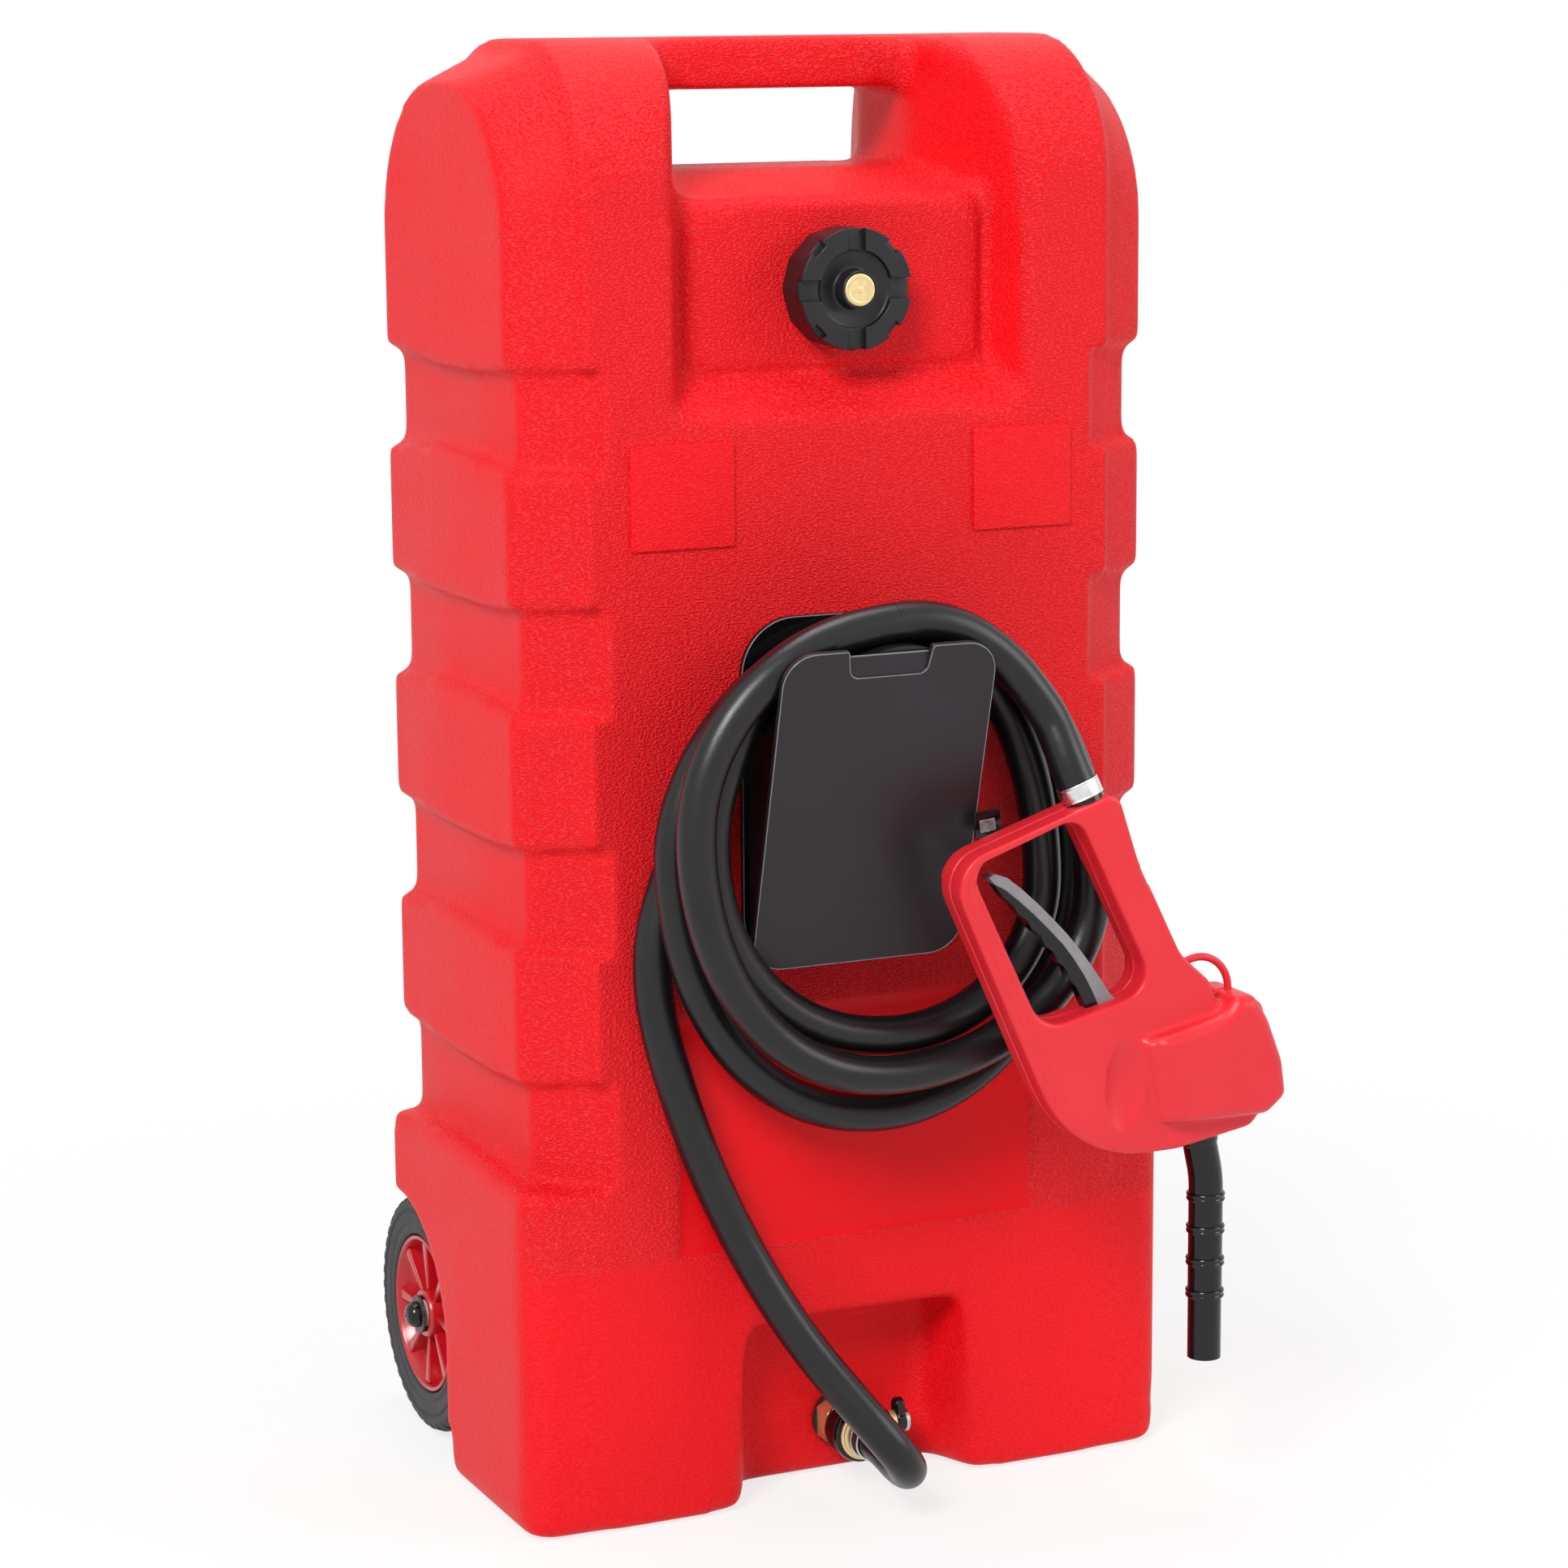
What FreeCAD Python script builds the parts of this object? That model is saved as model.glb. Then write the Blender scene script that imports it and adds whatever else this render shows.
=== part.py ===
import FreeCAD, Part
import math
import os

import Sketcher

# A fuel caddy that rolls on two wheels and stands on its flat bottom.
# +X is to the right seen from the front, +Y runs from the front to the back, and +Z is up.
# Lengths are in millimetres. Depths are measured from the front face of the tank, and
# every finished piece is then moved forward by half the tank's depth, so that the
# origin lies on the floor under the middle of the tank.

Vector = FreeCAD.Vector
doc = FreeCAD.newDocument("FuelCaddy")

# Driving dimensions

SIZES = {
    # tank
    "tank_high": 880,
    "tank_deep": 240,
    "tank_wall": 4,
    "slab_half": 157,
    "front_round": 85,
    "rear_round": 104,
    "recess_half": 198,
    "recess_inset": 32,
    "recess_rear_inset": 13,
    "recess_step": 4,
    "recess_step_inset": 7,
    "band_half": 207,
    "band_inset": 28,
    "band_rear_inset": 8,
    "band_start": 11,
    "band_step": 16,
    "band_step_inset": 8,
    "base_half": 215,
    "base_inset": 13,
    "base_rear_inset": 8,
    "base_flat": 6,
    "base_shoulder_half": 205,
    "base_shoulder_inset": 3,
    "base_high": 211,
    "band_pitch": 140.5,
    "band_high": 73,
    "band_count": 3,
    "band_rise": 7,
    "band_middle": 120,
    "band_peak": 35,
    "shoulder_drop": 3,
    # pocket, pad and carrying handle
    "pocket_half": 114,
    "pocket_drop": 213,
    "pocket_deep": 33,
    "pocket_floor_half": 100,
    "pocket_floor_drop": 190,
    "pad_proud": 9,
    "pad_half": 96,
    "pad_high": 106,
    "pad_edge": 3,
    "pad_sink": 2,
    "shelf_drop": 77,
    "shelf_slope": 17,
    "handle_high": 31,
    "handle_deep": 71,
    "handle_front": 97,
    "handle_hole_half": 84,
    "handle_rear_drop": 49,
    "handle_rear_half": 120,
    # filler
    "cap_drop": 144.5,
    "neck_radius": 27,
    "neck_bore": 22,
    "neck_long": 16,
    "cap_radius": 36,
    "cap_long": 28,
    "cap_dish": 5,
    "cap_skirt_wall": 8.6,
    "cap_gap": 0.4,
    "cap_ring_wall": 15,
    "castle_deep": 5,
    "castle_slot": 12,
    "window_wide": 9,
    "window_deep": 4,
    "gasket_thick": 1,
    "seat_radius": 12.5,
    "seat_proud": 4,
    "button_radius": 9.7,
    "button_proud": 6,
    "button_travel": 2.5,
    "button_stem": 3,
    "spring_wire": 0.25,
    "spring_pressed": 1.4,
    "fit": 0.3,
    "running": 0.05,
    # panel and notch
    "panel_half": 118,
    "panel_low": 166,
    "panel_high": 146,
    "panel_step": 2,
    "notch_half": 77,
    "notch_top_half": 64,
    "notch_floor_half": 62,
    "notch_high": 120,
    "notch_rise": 10,
    "notch_deep": 42,
    # wheels
    "wheel_radius": 77,
    "tyre_shoulder": 5,
    "tyre_bead": 8,
    "wheel_wide": 40,
    "wheel_outer": 200,
    "axle_high": 77,
    "axle_deep": 230,
    "axle_radius": 6.35,
    "axle_boss": 22,
    "well_half": 152,
    "well_gap": 7,
    "rim_radius": 50,
    "rim_wall": 2.4,
    "rim_wide": 34,
    "web_thick": 6,
    "hub_radius": 15,
    "hub_wide": 38,
    "rib_inset": 4,
    "bush_wall": 2,
    "rib_count": 8,
    "rib_thick": 4,
    "tread_wide": 28,
    "washer_thick": 1.6,
    "washer_radius": 12,
    "axle_cap_radius": 8.6,
    "axle_cap_long": 8,
    "axle_tail": 4,
    # outlet valve
    "valve_x": 6,
    "valve_high": 36,
    "bushing_flats": 32,
    "bushing_thick": 10,
    "bushing_tail": 12,
    "bushing_tail_long": 22,
    "seal_thick": 2,
    "valve_radius": 19,
    "valve_long": 24,
    "flow_bore": 6,
    "ball_radius": 10,
    "seat_ring": 2.6,
    "seat_deep": 2.4,
    "stem_radius": 4,
    "valve_neck": 9,
    "packing_radius": 7,
    "packing_long": 4,
    "grip_long": 30,
    "grip_thick": 6,
    "grip_deep": 9,
    "barb_radius": 8,
    "barb_hex": 24,
    "barb_hex_thick": 5,
    "barb_long": 20,
    "clamp_wide": 10,
    "clamp_thick": 1.2,
    "clamp_from": 2,
    "clamp_screw_long": 12,
    # hose
    "hose_radius": 11.5,
    "coil_x": -18,
    "coil_high": 440,
    "coil_rise": 113,
    # hanger
    "plate_thick": 4,
    "plate_left": 76,
    "plate_right": 48,
    "plate_low": 336,
    "plate_top": 547,
    "plate_round": 34,
    "core_left": 72,
    "core_right": 36,
    "core_round": 56,
    "core_low": 352,
    "core_wall": 5,
    "core_clear": 0.5,
    "cover_wide": 135,
    "cover_x": -27.5,
    "cover_low": 350,
    "cover_rise": 192,
    "cover_low_deep": 52,
    "cover_lean": 51,
    "cover_thick": 4,
    "cover_round": 20,
    "pull_wide": 50,
    "pull_deep": 12,
    "pull_shift": -1,
    "pull_lip": 1.5,
    "screw_in": 14,
    "screw_top": 497,
    "screw_radius": 2.2,
    "screw_head": 4.5,
    "screw_head_thick": 2.6,
    "screw_long": 14,
    "hook_wide": 12,
    "hook_thick": 3,
    "hook_x": 54,
    "hook_high": 424.3,
    "hook_reach": 104.5,
    "hook_from": 62,
    "hook_flange": 18,
    "hook_screw": 1.6,
    # nozzle
    "nozzle_deep": 110,
    "shell_half": 14,
    "shell_screw_long": 22,
    "barrel_proud": 12,
    "barrel_slope": 26,
    "barrel_left": 110,
    "barrel_right": 216,
    "barrel_low": 240,
    "barrel_top": 300,
    "barrel_bevel": 7,
    "pin_radius": 2.2,
    "pin_half": 11,
    "torsion_wire": 0.8,
    "torsion_radius": 3.6,
    "trigger_half": 5,
    "trigger_gap": 0.6,
    "trigger_room_left": 24,
    "trigger_room_right": 10,
    "trigger_room_low": 12,
    "trigger_room_high": 19,
    "torsion_gap": 0.4,
    "overlap": 0.1,
    "inlet_radius": 7,
    "inlet_long": 154.5,
    "nozzle_valve_radius": 14,
    "nozzle_valve_high": 270,
    "nozzle_valve_left": 128,
    "nozzle_valve_long": 78,
    "spout_radius": 10.3,
    "spout_wall": 1.6,
    "spout_tip_radius": 10.1,
    "spout_tip_long": 38,
    "ring_radius": 11.8,
    "ring_high": 3,
    "ring_pitch": 20,
    "ring_count": 4,
    "ring_low": 134,
    "spout_nut_radius": 14.5,
    "spout_nut_high": 24,
    "crimp_radius": 13,
    "crimp_long": 10,
    "ferrule_radius": 12,
    "ferrule_long": 14,
    "strap_radius": 20.5,
    "strap_wire": 2.3,
    "strap_x": 171,
    "strap_high": 322,
}


class Size:
    """A number together with the sheet formula that gives it."""

    def __init__(self, value, formula):
        self.value = float(value)
        self.formula = formula

    def __add__(self, other):
        other = sized(other)
        return Size(self.value + other.value, "(%s + %s)" % (self.formula, other.formula))

    def __sub__(self, other):
        other = sized(other)
        return Size(self.value - other.value, "(%s - %s)" % (self.formula, other.formula))

    def __mul__(self, other):
        other = sized(other)
        return Size(self.value * other.value, "(%s * %s)" % (self.formula, other.formula))

    def __truediv__(self, other):
        other = sized(other)
        return Size(self.value / other.value, "(%s / %s)" % (self.formula, other.formula))

    def __neg__(self):
        return Size(-self.value, "(-%s)" % self.formula)

    def __radd__(self, other):
        return sized(other) + self

    def __rsub__(self, other):
        return sized(other) - self

    def __rmul__(self, other):
        return sized(other) * self


def sized(number):
    """A plain number becomes a size, so that both kinds mix in one sum."""
    if isinstance(number, Size):
        return number
    return Size(number, "(%r)" % float(number))


def plain(numbers):
    """The bare values of a group of sizes."""
    return [sized(number).value for number in numbers]


class Sheet:
    """The spreadsheet of driving dimensions, read by name."""

    def __init__(self, sizes):
        sheet = doc.addObject("Spreadsheet::Sheet", "Sizes")
        for row, (name, value) in enumerate(sizes.items(), start=1):
            sheet.set("A%d" % row, name)
            sheet.set("B%d" % row, str(value))
            sheet.setAlias("B%d" % row, name)
            setattr(self, name, Size(value, "Sizes." + name))


size = Sheet(SIZES)
doc.recompute()

# Ways to make and place a piece

UP = FreeCAD.Rotation()
DOWN = FreeCAD.Rotation(Vector(1, 0, 0), 180)
FRONT = FreeCAD.Rotation(Vector(1, 0, 0), 90)
BACK = FreeCAD.Rotation(Vector(1, 0, 0), -90)
RIGHT = FreeCAD.Rotation(Vector(0, 1, 0), 90)
LEFT = FreeCAD.Rotation(Vector(0, 1, 0), -90)

sub_parts = {}


def bind(thing, path, amount):
    """Tie one property to its formula in the sheet."""
    thing.setExpression(path, sized(amount).formula)


def place(thing, at, heading=UP):
    """Put a thing's own zero at a point, with its own +Z turned to a heading."""
    thing.Placement = FreeCAD.Placement(Vector(*plain(at)), heading)
    for axis, amount in zip("xyz", at):
        bind(thing, "Placement.Base." + axis, amount)
    return thing


def sub_part(name, thing, at=(0, 0, 0), heading=UP):
    """Name a finished piece and move it from the tank's front face to the row's origin."""
    across, deep, high = at
    place(thing, (across, deep - size.tank_deep / 2, high), heading)
    thing.Label = name
    sub_parts[name] = thing
    return thing


def box(name, low, high):
    """A block between two opposite corners."""
    block = doc.addObject("Part::Box", name)
    for side, start, end in zip(("Length", "Width", "Height"), low, high):
        bind(block, side, end - sized(start))
    return place(block, low)


def cylinder(name, radius, length, at, heading=UP):
    """A round bar from a point along a heading."""
    bar = doc.addObject("Part::Cylinder", name)
    bind(bar, "Radius", radius)
    bind(bar, "Height", length)
    return place(bar, at, heading)


def cone(name, radius, end_radius, length, at, heading=UP):
    """A tapered bar from a point along a heading."""
    bar = doc.addObject("Part::Cone", name)
    bind(bar, "Radius1", radius)
    bind(bar, "Radius2", end_radius)
    bind(bar, "Height", length)
    return place(bar, at, heading)


def bevelled(name, near, far):
    """A block that tapers along depth. Each end is (deep, left, right, low, high)."""
    block = doc.addObject("Part::Wedge", name)
    for end, names in ((near, ("Ymin", "Xmin", "Xmax", "Zmin", "Zmax")),
                       (far, ("Ymax", "X2min", "X2max", "Z2min", "Z2max"))):
        for path, amount in zip(names, end):
            bind(block, path, amount)
    return block


def taper(name, near, far):
    """A bevelled block even about the middle. Each end is (deep, half width, low, high)."""
    ends = [(deep, -sized(half), half, low, high) for deep, half, low, high in (near, far)]
    return bevelled(name, *ends)


def fuse(name, *pieces):
    """Join pieces into one."""
    whole = doc.addObject("Part::MultiFuse", name)
    whole.Shapes = list(pieces)
    return whole


def cut(name, base, *tools):
    """Take tools away from a base."""
    rest = doc.addObject("Part::Cut", name)
    rest.Base = base
    rest.Tool = tools[0] if len(tools) == 1 else fuse(name + "_tools", *tools)
    return rest


def common(name, *pieces):
    """Keep only what pieces share."""
    rest = doc.addObject("Part::MultiCommon", name)
    rest.Shapes = list(pieces)
    return rest


def group(name, *pieces):
    """Several loose solids that share one name."""
    several = doc.addObject("Part::Compound", name)
    several.Links = list(pieces)
    return several


def sketch(body, name, plane, outline):
    """A closed outline of straight sides on one of the body's own planes."""
    drawing = body.newObject("Sketcher::SketchObject", name)
    face = [part for part in body.Origin.OriginFeatures if part.Role == plane][0]
    drawing.AttachmentSupport = [(face, "")]
    drawing.MapMode = "FlatFace"
    corners = [Vector(*plain(point), 0) for point in outline]
    count = len(corners)
    for side in range(count):
        edge = Part.LineSegment(corners[side], corners[(side + 1) % count])
        drawing.addGeometry(edge, False)
    for side in range(count):
        drawing.addConstraint(Sketcher.Constraint("Coincident", side, 2, (side + 1) % count, 1))
    for side, point in enumerate(outline):
        for kind, amount in zip(("DistanceX", "DistanceY"), point):
            rule = Sketcher.Constraint(kind, -1, 1, side, 1, sized(amount).value)
            number = drawing.addConstraint(rule)
            bind(drawing, "Constraints[%d]" % number, amount)
    return drawing


def turned(name, outline):
    """A piece turned about its own Z, from an outline of (radius, height) points."""
    body = doc.addObject("PartDesign::Body", name)
    spin = body.newObject("PartDesign::Revolution", name + "_turn")
    spin.Profile = sketch(body, name + "_outline", "XZ_Plane", outline)
    spin.ReferenceAxis = (spin.Profile[0], ["V_Axis"])
    spin.Angle = 360
    return body


def sleeve(name, inner, outer, length):
    """A plain ring or tube that stands on its own zero."""
    return turned(name, [(inner, 0), (outer, 0), (outer, length), (inner, length)])


def slice_of(name, plane, outline, thickness):
    """An outline given a thickness, forward from the front plane or right from the side plane."""
    body = doc.addObject("PartDesign::Body", name)
    pad = body.newObject("PartDesign::Pad", name + "_pad")
    pad.Profile = sketch(body, name + "_outline", plane, outline)
    bind(pad, "Length", thickness)
    return body


def solid_feature(name, shape):
    """A piece whose form neither sketches nor primitives give."""
    piece = doc.addObject("Part::Feature", name)
    piece.Shape = shape
    return piece


def coil_spring(name, wire, radius, length, turns):
    """A round-wire spring that stands on its own zero."""
    wire, radius, length = plain((wire, radius, length))
    climb = length - 2 * wire
    path = Part.Wire(Part.makeHelix(climb / turns, climb, radius).Edges)
    section = Part.Wire(Part.Circle(Vector(radius, 0, 0), Vector(0, 1, 0), wire).toShape())
    shape = path.makePipeShell([section], True, True)
    shape.translate(Vector(0, 0, wire))
    return solid_feature(name, shape)


def rounded_wire(corners, lift):
    """A closed wire in a plane of constant depth through (across, high, radius) corners."""
    points = [Vector(across, lift, high) for across, high, radius in corners]
    edges = []
    ends = []
    count = len(points)
    for number, (across, high, radius) in enumerate(corners):
        here = points[number]
        back = (points[number - 1] - here).normalize()
        ahead = (points[(number + 1) % count] - here).normalize()
        half_turn = back.getAngle(ahead) / 2
        reach = radius / math.tan(half_turn)
        middle = here + (back + ahead).normalize() * (radius / math.sin(half_turn) - radius)
        ends.append((here + back * reach, middle, here + ahead * reach))
    for number, (start, middle, finish) in enumerate(ends):
        edges.append(Part.Arc(start, middle, finish).toShape())
        edges.append(Part.LineSegment(finish, ends[(number + 1) % count][0]).toShape())
    return Part.Wire(edges)


# Tank: one blow-moulded piece with a smooth middle slab and wrapped bands at its sides

def tank_section(across, inset, rear_inset, drop, front_round, rear_round, wall=0):
    """The tank's outline from front to back at one place across it."""
    front = inset + wall
    back = size.tank_deep.value - rear_inset - wall
    top = size.tank_high.value - drop - wall
    low = wall
    near = front_round - wall
    far = rear_round - wall
    slant = math.sqrt(0.5)

    def point(deep, high):
        return Vector(across, deep, high)

    near_middle = point(front + near * (1 - slant), top - near * (1 - slant))
    far_middle = point(back - far * (1 - slant), top - far * (1 - slant))
    edges = [
        Part.LineSegment(point(front, low), point(front, top - near)),
        Part.Arc(point(front, top - near), near_middle, point(front + near, top)),
        Part.LineSegment(point(front + near, top), point(back - far, top)),
        Part.Arc(point(back - far, top), far_middle, point(back, top - far)),
        Part.LineSegment(point(back, top - far), point(back, low)),
        Part.LineSegment(point(back, low), point(front, low)),
    ]
    return Part.Wire([edge.toShape() for edge in edges])


def side_loft(stations, side, wall=0):
    """A flank of the tank through sections, each of (half width, insets, drop, radii)."""
    wires = []
    for half, *form in stations:
        wires.append(tank_section(side * (half - wall), *form, wall))
    return Part.makeLoft(wires, True, True)


PAST = 20  # how far a tool runs past what it cuts
POCKET_SPLAY = 0.4
NOTCH_SPLAY = 0.3
FULL = (0, 0, 0, size.front_round.value, size.rear_round.value)
CREASE = 6
END_ROUND = 88
BAND_END_DROP = 25
RECESS = [
    (size.slab_half.value, *FULL),
    ((size.slab_half + size.recess_step).value, size.recess_step_inset.value,
     (size.recess_rear_inset / 4).value, CREASE + 1,
     size.front_round.value - CREASE, size.rear_round.value - CREASE),
    (size.recess_half.value, size.recess_inset.value, size.recess_rear_inset.value,
     size.recess_inset.value, size.front_round.value, END_ROUND),
]
BANDS = [
    (size.slab_half.value, *FULL),
    ((size.slab_half + size.band_start).value, *FULL),
    ((size.slab_half + size.band_step).value, size.band_step_inset.value,
     (size.band_rear_inset / 4).value, size.band_step_inset.value,
     size.front_round.value - CREASE - 1, size.rear_round.value - CREASE),
    (size.band_half.value, size.band_inset.value, size.band_rear_inset.value, BAND_END_DROP,
     END_ROUND, END_ROUND),
]
BASE = [
    (size.slab_half.value, *FULL),
    ((size.slab_half + size.base_flat).value, *FULL),
    (size.base_shoulder_half.value, size.base_shoulder_inset.value,
     (size.base_rear_inset / 4).value, 0, size.front_round.value, size.rear_round.value),
    (size.base_half.value, size.base_inset.value, size.base_rear_inset.value,
     size.base_inset.value, size.front_round.value, size.rear_round.value),
]


def belt(name, low_ends, low_middle, high_ends, high_middle):
    """A slice of the whole width whose edges rise or sag at mid depth."""
    near = size.band_middle - size.band_peak
    far = size.band_middle + size.band_peak
    back = size.tank_deep + PAST
    outline = [(-PAST, low_ends), (near, low_middle), (far, low_middle), (back, low_ends),
               (back, high_ends), (far, high_middle), (near, high_middle), (-PAST, high_ends)]
    body = slice_of(name, "YZ_Plane", outline, size.base_half * 2 + PAST)
    return place(body, (-size.base_half - PAST / 2, 0, 0))


def tank_outside():
    """The tank before anything is cut from it."""
    half = size.slab_half.value
    middle = Part.Face(tank_section(-half, *FULL)).extrude(Vector(2 * half, 0, 0))
    pieces = [solid_feature("tank_middle", middle)]
    pieces += [solid_feature("tank_recess", side_loft(RECESS, side)) for side in (-1, 1)]
    full_bands = [solid_feature("tank_flank", side_loft(BANDS, side)) for side in (-1, 1)]
    full_base = [solid_feature("tank_foot", side_loft(BASE, side)) for side in (-1, 1)]
    sag = size.band_rise
    top = size.tank_high + PAST
    shoulder_low = size.base_high + size.band_pitch * size.band_count + size.band_pitch
    shoulder_low = shoulder_low - size.band_high - size.shoulder_drop
    belts = [belt("shoulder_belt", shoulder_low, shoulder_low - sag, top, top)]
    for number in range(int(size.band_count.value)):
        high = size.base_high + size.band_pitch * (number + 1)
        low = high - size.band_high
        belts.append(belt("band_belt", low, low - sag, high, high + sag))
    for belt_number, slab in enumerate(belts):
        for flank in full_bands:
            pieces.append(common("band", flank, slab))
    foot = belt("foot_belt", -PAST, -PAST, size.base_high, size.base_high + sag)
    pieces += [common("foot", flank, foot) for flank in full_base]
    boss = cylinder("axle_boss", size.axle_boss, size.well_half * 2,
                    (-size.well_half, size.axle_deep, size.axle_high), RIGHT)
    return fuse("tank_outside", *pieces, boss)


def handle_tools(grow):
    """What the pocket and the carrying handle take from the tank, grown by a wall."""
    top = size.tank_high + PAST
    shelf = size.tank_high - size.shelf_drop - grow
    lower = taper("pocket",
                  (-PAST, size.pocket_half + PAST * POCKET_SPLAY + grow,
                   size.tank_high - size.pocket_drop - PAST - grow, top),
                  (size.pocket_deep + grow, size.pocket_floor_half + grow,
                   size.tank_high - size.pocket_floor_drop - grow, top))
    upper = taper("handle_front_space",
                  (size.pocket_deep - size.pad_edge, size.pocket_floor_half + 1 + grow,
                   shelf - size.shelf_slope, top),
                  (size.handle_front + grow, size.handle_hole_half + grow, shelf, top))
    handle_back = size.handle_front + size.handle_deep
    rear = taper("handle_rear_space",
                 (handle_back - grow, size.handle_hole_half + grow, shelf, top),
                 (size.tank_deep + PAST, size.handle_rear_half + grow,
                  shelf - size.handle_rear_drop, top))
    half = size.handle_hole_half + grow
    hole = box("handle_hole",
               (-half, size.handle_front - 1, shelf),
               (half, handle_back + 1, size.tank_high - size.handle_high + grow))
    return [lower, upper, rear, hole]


def filler_pad(grow):
    """The raised pad that carries the filler neck."""
    low = size.tank_high - size.pocket_floor_drop - size.pad_sink
    high = low + size.pad_high - size.pad_edge * 2
    floor = size.pocket_deep
    return taper("filler_pad",
                 (floor - size.pad_proud + grow, size.pad_half - size.pad_edge - grow,
                  low + size.pad_edge + grow, high - size.pad_edge - grow),
                 (floor + 1 + grow, size.pad_half + size.pad_edge - grow,
                  low - size.pad_edge + grow, high + size.pad_edge - grow))


def wheel_wells(grow):
    """The two arched wells at the rear lower corners."""
    radius = size.wheel_radius + size.well_gap + grow
    spaces = []
    for side, heading in ((-1, LEFT), (1, RIGHT)):
        start = side * (size.well_half - grow)
        arch = cylinder("well_arch", radius, size.base_half - size.well_half + PAST + grow,
                        (start, size.axle_deep, size.axle_high), heading)
        end = side * (size.base_half + PAST)
        near, far = (start, end) if side > 0 else (end, start)
        skirt = box("well_skirt", (near, size.axle_deep - radius, -PAST),
                    (far, size.tank_deep + PAST, size.axle_high))
        spaces += [arch, skirt]
    return spaces


def outlet_notch(grow):
    """The notch low in front that shields the outlet valve, splayed towards the front."""
    top = size.notch_high + grow
    splay = taper("notch_splay",
                  (-PAST, size.notch_half + PAST * NOTCH_SPLAY + grow, -PAST, top),
                  (size.notch_deep + grow, size.notch_floor_half + grow, -PAST,
                   top - size.notch_rise))
    narrow = size.notch_half - size.notch_top_half
    foot = size.notch_half + PAST * NOTCH_SPLAY + narrow * PAST / size.notch_high + grow
    head = size.notch_top_half + PAST * NOTCH_SPLAY + grow
    outline = [(-foot, -PAST), (foot, -PAST), (head, top), (-head, top)]
    arch = slice_of("notch_arch", "XZ_Plane", outline, size.notch_deep + PAST + grow)
    place(arch, (0, size.notch_deep + grow, 0))
    return common("outlet_notch", splay, arch)


def tank_inside():
    """The fuel space: the tank's own form, one wall smaller, round everything cut into it."""
    wall = size.tank_wall.value
    half = size.slab_half.value
    middle = Part.Face(tank_section(-half, *FULL, wall)).extrude(Vector(2 * half, 0, 0))
    pieces = [solid_feature("fuel_middle", middle)]
    for side in (-1, 1):
        stations = [(size.slab_half.value + wall, *FULL)] + RECESS[1:]
        stations[1] = (RECESS[1][0] + wall,) + RECESS[1][1:]
        pieces.append(solid_feature("fuel_flank", side_loft(stations, side, wall)))
    grow = size.tank_wall
    boss = cylinder("boss_jacket", size.axle_boss, size.well_half * 2,
                    (-size.well_half, size.axle_deep, size.axle_high), RIGHT)
    pocket = handle_tools(grow)
    return cut("fuel_space", fuse("fuel_whole", *pieces), *pocket, *wheel_wells(grow),
               outlet_notch(grow), boss)


def cap_high():
    """How high the filler's middle lies."""
    return size.tank_high - size.cap_drop


def filler_neck():
    """The neck that the cap screws on."""
    base = size.pocket_deep - size.pad_proud
    return cylinder("filler_neck", size.neck_radius, size.neck_long + 1,
                    (0, base + 1, cap_high()), FRONT)


def make_tank():
    """The hollow tank, with its pocket, handle, neck, wells, notch and bores."""
    notch = outlet_notch(sized(0))
    panel = taper("lower_panel",
                  (-PAST, size.panel_half, size.panel_low, size.panel_low + size.panel_high),
                  (size.panel_step, size.panel_half, size.panel_low,
                   size.panel_low + size.panel_high))
    shell = cut("tank_cut", tank_outside(), *handle_tools(sized(0)), *wheel_wells(sized(0)),
                notch, panel)
    shell = fuse("tank_dressed", shell, filler_pad(sized(0)), filler_neck())
    neck_bore = cylinder("filler_bore", size.neck_bore, size.neck_long + size.pocket_deep,
                         (0, size.pocket_deep + size.tank_wall + 2, cap_high()), FRONT)
    axle_bore = cylinder("axle_bore", size.axle_radius, size.base_half * 2 + PAST,
                         (-size.base_half - PAST / 2, size.axle_deep, size.axle_high), RIGHT)
    outlet_bore = cylinder("outlet_bore", size.bushing_tail, size.tank_deep / 2,
                           (size.valve_x, size.notch_deep - 1, size.valve_high), BACK)
    return sub_part("tank", cut("tank_shell", shell, tank_inside(), neck_bore, axle_bore,
                                outlet_bore))


# Wheels, axle and what holds them on

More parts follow.
